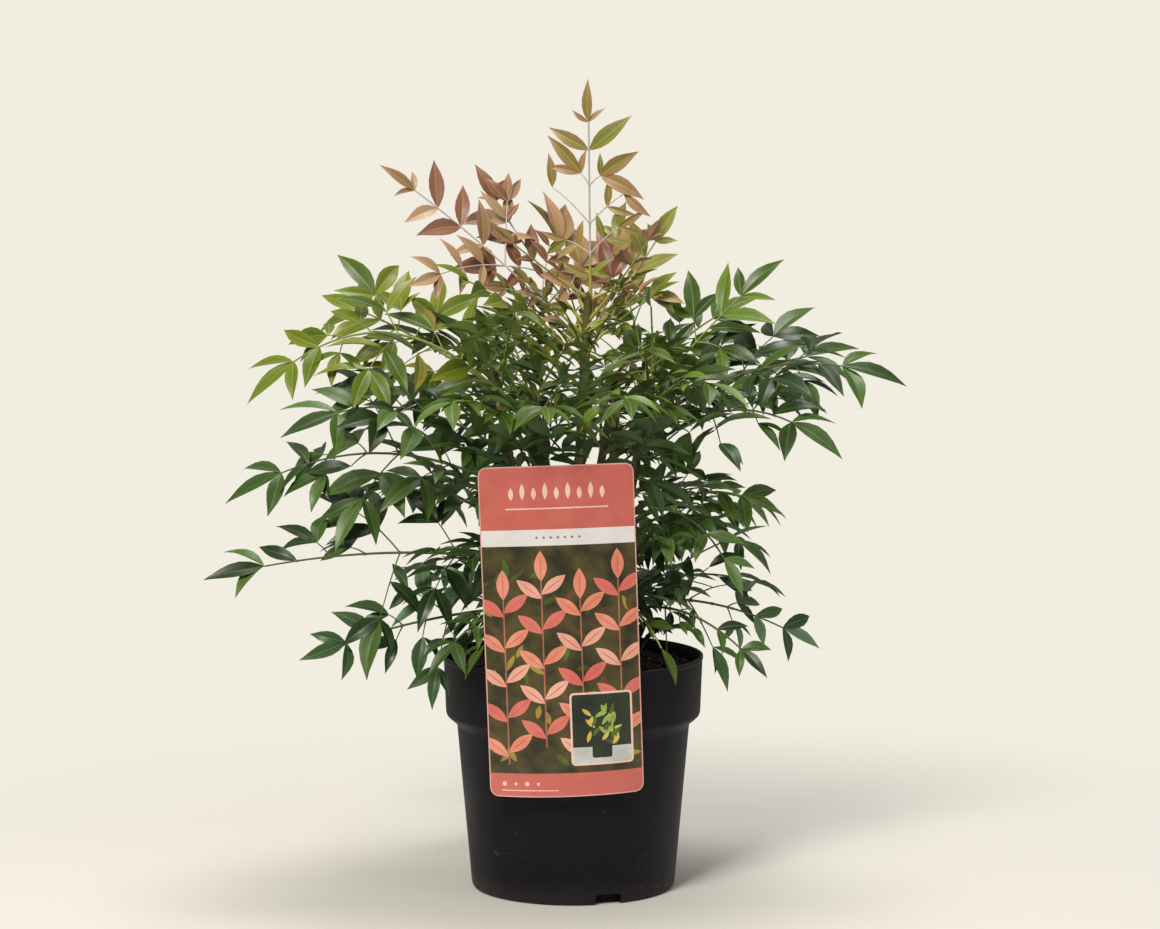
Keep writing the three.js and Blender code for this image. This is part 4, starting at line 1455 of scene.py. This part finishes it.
def lathe(profile, sides):
    """A closed shell from a profile that starts and ends on the axis."""
    rows = profile[1:-1]
    points = [(0, 0, profile[0][1])]
    for r, z in rows:
        points.extend((x, y, z) for x, y in circle(r, sides))
    last = len(points)
    points.append((0, 0, profile[-1][1]))
    faces = []
    for n, sector in enumerate(spun_faces(len(rows), sides)):
        faces += sector
        faces.append((last - sides + n, last - sides + (n + 1) % sides, last))
    return points, faces


def cut_notch(pot, azimuth):
    """A drainage notch with a round top, cut through the foot's edge."""
    half = NOTCH_WIDTH / 2
    outline = rectangle(-half, -2 * NOTCH_HEIGHT, half, NOTCH_HEIGHT, NOTCH_CORNER)
    points = []
    for depth in (FOOT_RADIUS - NOTCH_DEPTH / 2, FOOT_RADIUS + NOTCH_DEPTH / 2):
        points.extend(around(azimuth, depth, z) + around(azimuth + 90, y, 0) for y, z in outline)
    cutter = mesh_object("notch cutter", points, tube_faces(2, len(outline)), [])
    modifier = pot.modifiers.new("notch", "BOOLEAN")
    modifier.operation = "DIFFERENCE"
    modifier.solver = "EXACT"
    modifier.object = cutter
    pot.data = baked(pot, modifier)
    bpy.data.objects.remove(cutter)


def make_pot():
    pot = mesh_object("pot_shell", *lathe(rounded_profile(POT_CORNERS), POT_SIDES), [pot_plastic()])
    for n in range(NOTCHES):
        cut_notch(pot, NOTCH_AZIMUTH + 360 / NOTCHES * n)
    smooth(pot.data, POT_SMOOTH)
    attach(pot, BODY)
    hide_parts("pot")


# ------------------------------------------------------------------ soil

SOIL_RINGS = 34
SOIL_SIDES = 90
SOIL_EDGE = BAND_RADIUS - POT_WALL - 0.2
SOIL_BANK_RADII = (30, 58, 80, 92)
SOIL_BANK_RISES = (0, 3.6, 3.6, 1.5)
# Lumps, clods and grit: how close they stand, a layer of the noise of their own, and their height
SOIL_LUMPS = ((0.07, 3.1, 1.7), (0.17, 5.7, 1.5), (0.35, 9.4, 0.8))
SOIL_SINK = 0.6
SOIL_SMOOTH = 60
# Radius and height of the rings below the surface
SOIL_BODY = (
    (SOIL_EDGE, BAND_BOTTOM + 5), (SHOULDER_RADIUS - 2, SHOULDER_Z + 2), (wall_radius(8) - 2, 8),
    (FOOT_RADIUS - 7, POT_FLOOR + CLEAR),
)
CRUMB_SMALLEST = (0.0006, 0.0005, 0.0004)
CRUMB_LARGEST = (0.0024, 0.0017, 0.0012)
UPPER_FACES = 0.6
# Name, number to a square metre, seed, scale, and the finish's name, colours and roughness
CRUMBS = (
    ("soil_crumbs", 44000.0, 4, 1.0, ("dark crumb", "1f1415", "34262a")),
    ("soil_peat", 26000.0, 9, 1.3, ("brown crumb", "463032", "6a5052")),
    ("soil_grit", 2200.0, 15, 0.9, ("pale grit", "827a76", "a8a09a", 0.7)),
)


def soil_height(x, y):
    """The soil's surface: level round the canes, banked up towards the wall, lumpy all over."""
    height = SOIL_TOP + np.interp(math.hypot(x, y), SOIL_BANK_RADII, SOIL_BANK_RISES)
    for scale, layer, rise in SOIL_LUMPS:
        height += noise.noise(Vector((x * scale, y * scale, layer))) * rise
    return height - SOIL_SINK


def crumb_tree():
    """Crumbs scattered over the soil's upper faces, each with its own turn and size."""
    tree, sockets, start, end = geometry_group(
        "soil crumbs", Density=26000.0, Seed=4, Smallest=CRUMB_SMALLEST, Largest=CRUMB_LARGEST
    )
    seed = start["Seed"]
    normal = add(tree, "GeometryNodeInputNormal")
    facing = add(tree, "ShaderNodeSeparateXYZ", {"Vector": normal}, out="Z")
    upper = add(
        tree, "FunctionNodeCompare", {"A": facing, "B": UPPER_FACES}, data_type="FLOAT",
        operation="GREATER_THAN",
    )
    spots = add(tree, "GeometryNodeDistributePointsOnFaces", {
        "Mesh": start["Geometry"], "Selection": upper, "Density": start["Density"], "Seed": seed,
    })
    turns = {"Max": (math.tau, math.tau, math.tau), "Seed": seed}
    sizes = {"Min": start["Smallest"], "Max": start["Largest"], "Seed": seed}
    turn, size = (
        add(tree, "FunctionNodeRandomValue", inputs, data_type="FLOAT_VECTOR") for inputs in (turns, sizes)
    )
    lump = add(tree, "GeometryNodeMeshIcoSphere", {"Radius": 1.0, "Subdivisions": 1})
    inputs = {"Points": spots, "Instance": lump, "Rotation": turn, "Scale": size}
    end_tree(tree, add(tree, "GeometryNodeInstanceOnPoints", inputs), start, end)
    return tree, sockets


def make_soil():
    """A lumpy bed down to the pot's floor, and three kinds of crumbs on it."""
    points = [(0, 0, soil_height(0, 0))]
    for k in range(1, SOIL_RINGS + 1):
        spots = circle(SOIL_EDGE * k / SOIL_RINGS, SOIL_SIDES)
        points.extend((x, y, soil_height(x, y)) for x, y in spots)
    for r, z in SOIL_BODY:
        points.extend((x, y, z) for x, y in circle(r, SOIL_SIDES))
    faces = sum(spun_faces(SOIL_RINGS + len(SOIL_BODY), SOIL_SIDES, top_down=True), [])
    faces.append(tuple(reversed(range(len(points) - SOIL_SIDES, len(points)))))
    bed = mesh_object("soil_bed", points, faces, [potting_soil()], smooth_below=SOIL_SMOOTH)
    tree, sockets = crumb_tree()
    for name, density, seed, scale, finish in CRUMBS:
        smallest, largest = (tuple(size * scale for size in s) for s in (CRUMB_SMALLEST, CRUMB_LARGEST))
        values = {
            "Density": density, "Seed": seed, "Smallest": smallest, "Largest": largest,
            "Finish": crumb(*finish),
        }
        piece = run_tree(put(name + " base", bed.data.copy()), tree, sockets, values, name)
        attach(piece, BODY)
    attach(bed, BODY)
    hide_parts("soil")


# ------------------------------------------------------------------ plant label

CARD_COLUMNS = 16
CARD_ROWS = 34
CARD_STEP = 6
CARD_EDGE = 0.8
CARD_SMOOTH = 40
CLOSEST = 1e-4
THREE = (0, 2.99)
PRINT_OVAL = 0.9
OVAL_STEPS = 7
DOT_SIDES = 10
STRIP_TOP = 17
FIELD_TOP = 179.5
BAND_TOP = 191
FALLEN_LEAVES = 46
FALLEN_ROOM = 4
FALLEN_LENGTH = (9, 16)
FALLEN_WIDTH = (3, 5)
FALLEN_TILT = (-170, 170)
STEM_PLACES = (-40, -13, 14, 41)
STEM_HALF_WIDTH = 0.5
STEM_HEIGHT = 118
# How far a stem's foot and its lowest leaf stand up, and how much more every other one does
STEM_FOOT = (6, 13)
STEM_FIRST_LEAF = (6, 3)
STEM_LEAVES = 5
STEM_LEAF_STEP = 25
STEM_LEAF = (22, 8.4)
STEM_VEIN = (20, 0.7)
STEM_TIP = (22, 9)
STEM_TILT = 52
HEAD_LEAVES = 9
HEAD_STEP = 8
HEAD_LENGTHS = (9, 12)
HEAD_WIDTH = 3.6
HEAD_Z = 212
HEAD_RULE = (-36, 205.4, 36, 206.4)
BAND_DOTS = 7
BAND_DOT_STEP = 5
BAND_DOT = 0.9
PICTURE = (4, 22, 48, 74)
PICTURE_EDGE = 1.4
PICTURE_CORNERS = (3, 2)
PICTURE_GROUND = 13
# In from its sides, foot and top above its foot, and its corners
PICTURE_POT = (15, 5, 14, 1.5)
PICTURE_ROOM = 7
PICTURE_RISE = 22
PICTURE_LEAVES = 26
PICTURE_LEAF = ((6, 10), 3, (-70, 70))
PICTURE_TAPER = 0.55
STRIP_DOTS = ((-44, 1.6), (-36, 1.1), (-28, 1.6), (-20, 1.1))
STRIP_RULE = (-46, 4.4, -6, 5.1)
CARD_INKS = {
    "edge": ("e0a294", "e8b0a2"),
    "olive": ("2c2a14", "544a22"),
    "moss": ("3d4f1e", "56702a"),
    "ochre": ("8a7a34", "a9963f"),
    "umber": ("4a3320", "6b4a2e"),
    "stem": ("a5604a", "bb7458"),
    "salmon": ("e08468", "ee9a80"),
    "rose": ("d8685c", "e07a6c"),
    "blush": ("e9a48c", "f2b7a0"),
    "vein": ("c4604e", "cc6c5a"),
    "white": ("e4e0dc", "ebe7e3"),
    "coral": ("c9655a", "cf6c60"),
    "cream": ("f0c4ae", "f6d2be"),
    "grey": ("77736c", "827e76"),
    "shade": ("1c2418", "2a3522"),
    "pale": ("b9bcb6", "d2d4cf"),
    "straw": ("c8b04a", "d8c468"),
    "lime": ("86a03c", "9db552"),
    "card": ("e9e6e0", "f0ede8"),
}
INKS = list(CARD_INKS)
PLAIN = INKS.index("card")


def card_point(x, z, out):
    """A place on the card: x from its middle, z above its foot, out from its middle layer."""
    u = z / LABEL_HEIGHT
    bow = LABEL_BOW * (1 - LABEL_BOW_LOSS * u) * (2 * x / LABEL_WIDTH) ** 2
    y = bow - LABEL_LEAN * u * u - out
    c = math.cos(math.radians(LABEL_TURN))
    s = math.sin(math.radians(LABEL_TURN))
    return (x * c - z * s + LABEL_X, y + LABEL_Y, x * s + z * c + LABEL_BOTTOM)


def rectangle(left, bottom, right, top, corner=0):
    """A rectangle's outline, its corners round where a corner radius is given."""
    if not corner:
        return [(left, bottom), (right, bottom), (right, top), (left, top)]
    outline = []
    centres = (
        (right - corner, bottom + corner, -90), (right - corner, top - corner, 0),
        (left + corner, top - corner, 90), (left + corner, bottom + corner, 180),
    )
    for x, z, first in centres:
        for a in np.radians(np.linspace(first, first + 90, ARC_STEPS)):
            outline.append((x + corner * math.cos(a), z + corner * math.sin(a)))
    return outline


def printed_leaf(x, z, length, width, tilt):
    """A plain pointed oval, its foot at x, z and its tip up, tilted to the right."""
    c = math.cos(math.radians(tilt))
    s = math.sin(math.radians(tilt))
    half = []
    for n in range(1, OVAL_STEPS):
        w = width / 2 * math.sin(math.pi * n / OVAL_STEPS) ** PRINT_OVAL
        half.append((w, length * n / OVAL_STEPS))
    outline = [(0, 0), *half, (0, length), *((-w, h) for w, h in reversed(half))]
    return [(x + w * c + h * s, z - w * s + h * c) for w, h in outline]


def printed_dot(x, z, radius):
    return [(x + across, z + up) for across, up in circle(radius, DOT_SIDES)]


def stepped(outline):
    """The same outline with points along its long sides, so that the print follows the card's bow."""
    steps = []
    for a, b in zip(outline, outline[1:] + outline[:1]):
        count = max(1, math.ceil(math.dist(a, b) / CARD_STEP))
        for n in range(count):
            steps.append((a[0] + (b[0] - a[0]) * n / count, a[1] + (b[1] - a[1]) * n / count))
    return steps


def card_design():
    """The print from back to front, as (outline, ink): plain panels and rows of plain leaves."""
    half = LABEL_WIDTH / 2
    edge = CARD_EDGE
    random = stream_of(PRINT_KEY)
    shapes = []

    def draw(ink, outline):
        shapes.append((outline, ink))

    def one_of(*inks):
        return inks[int(random(*THREE))]

    draw("edge", rectangle(-half, 0, half, LABEL_HEIGHT, LABEL_CORNER))
    draw("olive", rectangle(edge - half, edge, half - edge, LABEL_HEIGHT - edge, LABEL_CORNER - edge))
    for _ in range(FALLEN_LEAVES):
        x = random(-half + FALLEN_ROOM, half - FALLEN_ROOM)
        z = random(STRIP_TOP + FALLEN_ROOM, FIELD_TOP - FALLEN_LENGTH[1])
        ink = one_of("moss", "ochre", "umber")
        size = (random(*FALLEN_LENGTH), random(*FALLEN_WIDTH))
        draw(ink, printed_leaf(x, z, *size, random(*FALLEN_TILT)))
    for column, x in enumerate(STEM_PLACES):
        foot = STRIP_TOP + STEM_FOOT[0] + STEM_FOOT[1] * (column % 2)
        top = foot + STEM_HEIGHT
        draw("stem", rectangle(x - STEM_HALF_WIDTH, foot, x + STEM_HALF_WIDTH, top))
        for n, hand in product(range(STEM_LEAVES), (-1, 1)):
            z = foot + STEM_FIRST_LEAF[0] + STEM_LEAF_STEP * n + STEM_FIRST_LEAF[1] * (hand > 0)
            ink = ("salmon", "rose", "blush")[(n + column) % 3]
            draw(ink, printed_leaf(x, z, *STEM_LEAF, STEM_TILT * hand))
            draw("vein", printed_leaf(x, z, *STEM_VEIN, STEM_TILT * hand))
        draw("salmon", printed_leaf(x, top, *STEM_TIP, 0))
        draw("vein", printed_leaf(x, top, *STEM_VEIN, 0))
    draw("white", rectangle(-half, FIELD_TOP, half, BAND_TOP))
    draw("coral", rectangle(-half, BAND_TOP, half, LABEL_HEIGHT))
    draw("coral", rectangle(-half, 0, half, STRIP_TOP))
    for n in range(HEAD_LEAVES):
        x = HEAD_STEP * (n - HEAD_LEAVES // 2)
        draw("cream", printed_leaf(x, HEAD_Z, HEAD_LENGTHS[n % 2], HEAD_WIDTH, 0))
    draw("cream", rectangle(*HEAD_RULE))
    for n in range(BAND_DOTS):
        x = BAND_DOT_STEP * (n - BAND_DOTS // 2)
        draw("grey", printed_dot(x, (FIELD_TOP + BAND_TOP) / 2, BAND_DOT))
    left, bottom, right, top = PICTURE
    edge = PICTURE_EDGE
    middle = (left + right) / 2
    outer, inner = PICTURE_CORNERS
    lengths, width, tilts = PICTURE_LEAF
    pot_side, pot_foot, pot_top, pot_corner = PICTURE_POT
    draw("cream", rectangle(left, bottom, right, top, outer))
    draw("shade", rectangle(left + edge, bottom + edge, right - edge, top - edge, inner))
    draw("pale", rectangle(left + edge, bottom + edge, right - edge, bottom + PICTURE_GROUND))
    for _ in range(PICTURE_LEAVES):
        x = random(left + PICTURE_ROOM, right - PICTURE_ROOM)
        rise = random(0, 1)
        x = middle + (x - middle) * (1 - PICTURE_TAPER * rise)
        ink = one_of("straw", "lime", "moss")
        z = bottom + pot_top + PICTURE_RISE * rise
        draw(ink, printed_leaf(x, z, random(*lengths), width, random(*tilts)))
    pot = (left + pot_side, bottom + pot_foot, right - pot_side, bottom + pot_top)
    draw("shade", rectangle(*pot, pot_corner))
    for x, size in STRIP_DOTS:
        draw("cream", printed_dot(x, STRIP_TOP / 2 + 1, size))
    draw("cream", rectangle(*STRIP_RULE))
    return shapes


def make_label():
    """The bowed card with its print as cells of its mesh, and its hook."""
    shapes = card_design()
    flat = []
    cells = []
    for outline, _ in shapes:
        outline = stepped(outline)
        area = sum(a[0] * b[1] - b[0] * a[1] for a, b in zip(outline, outline[1:] + outline[:1]))
        outline = outline if area > 0 else outline[::-1]
        cells.append(list(range(len(flat), len(flat) + len(outline))))
        flat.extend(Vector(p) for p in outline)
    for row, column in product(range(1, CARD_ROWS), range(1, CARD_COLUMNS)):
        flat.append(Vector((LABEL_WIDTH * (column / CARD_COLUMNS - 0.5), LABEL_HEIGHT * row / CARD_ROWS)))
    places, _, triangles, _, _, owners = delaunay_2d_cdt(flat, [], cells, 1, CLOSEST)
    kept = [(tuple(t), own) for t, own in zip(triangles, owners) if 0 in own]
    # Only the points that the card's own cells use go into the mesh
    used = sorted({v for triangle, _ in kept for v in triangle})
    number = {v: n for n, v in enumerate(used)}
    count = len(used)
    half = LABEL_THICKNESS / 2
    points = [card_point(*places[v], out) for out in (half, -half) for v in used]
    faces = []
    indices = []
    sides = {}
    for triangle, own in kept:
        front = tuple(number[v] for v in triangle)
        faces += (front, tuple(v + count for v in reversed(front)))
        indices += (INKS.index(shapes[max(own) if 1 in own else 0][1]), PLAIN)
        sides.update(((a, b), True) for a, b in zip(front, front[1:] + front[:1]))
    faces += [(b, a, a + count, b + count) for a, b in sides if (b, a) not in sides]
    hook = hook_points()
    faces += tube_faces(len(hook) // 4, 4, len(points))
    points += hook
    indices += [PLAIN] * (len(faces) - len(indices))
    materials = [card_print(f"card {ink}", *CARD_INKS[ink]) for ink in INKS]
    card = mesh_object("label_card", points, faces, materials, indices, CARD_SMOOTH)
    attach(card, BODY)
    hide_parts("plant_label")


def hook_points():
    """The strip that hooks the card over the rim, bent in one sweep, four points to a ring."""
    thick = HOOK_THICKNESS / 2
    top = RIM_TOP + CLEAR + thick
    front = LABEL_Y - LABEL_THICKNESS / 2 + HOOK_SUNK
    back = LABEL_Y - LABEL_THICKNESS / 2 + HOOK_REACH - thick
    path = [(front, top), (back - HOOK_BEND, top)]
    for a in np.radians(np.linspace(90, 0, HOOK_ARC)[1:]):
        path.append((back - HOOK_BEND + HOOK_BEND * math.cos(a), top - HOOK_BEND + HOOK_BEND * math.sin(a)))
    path.append((back, top + thick - HOOK_DROP))
    points = []
    for n, (y, z) in enumerate(path):
        run = unit(np.subtract(path[min(n + 1, len(path) - 1)], path[max(n - 1, 0)]))
        for side, out in ((-1, 1), (1, 1), (1, -1), (-1, -1)):
            x = LABEL_X + side * HOOK_WIDTH / 2
            points.append((x, y - run[1] * thick * out, z + run[0] * thick * out))
    return points


# ------------------------------------------------------------------ the whole plant

make_camera()
make_studio()
make_floor()
SPRAYS = make_sprays()
for spray in SPRAYS:
    grow_spray(spray)
make_shoots(len(SPRAYS))
for tint in LEAF_TINTS:
    make_foliage(tint, SPRAYS)
make_stalks(SPRAYS)
BARK = cane_bark()
for cane in CANES:
    make_cane(cane, BARK)
make_pot()
make_soil()
make_label()
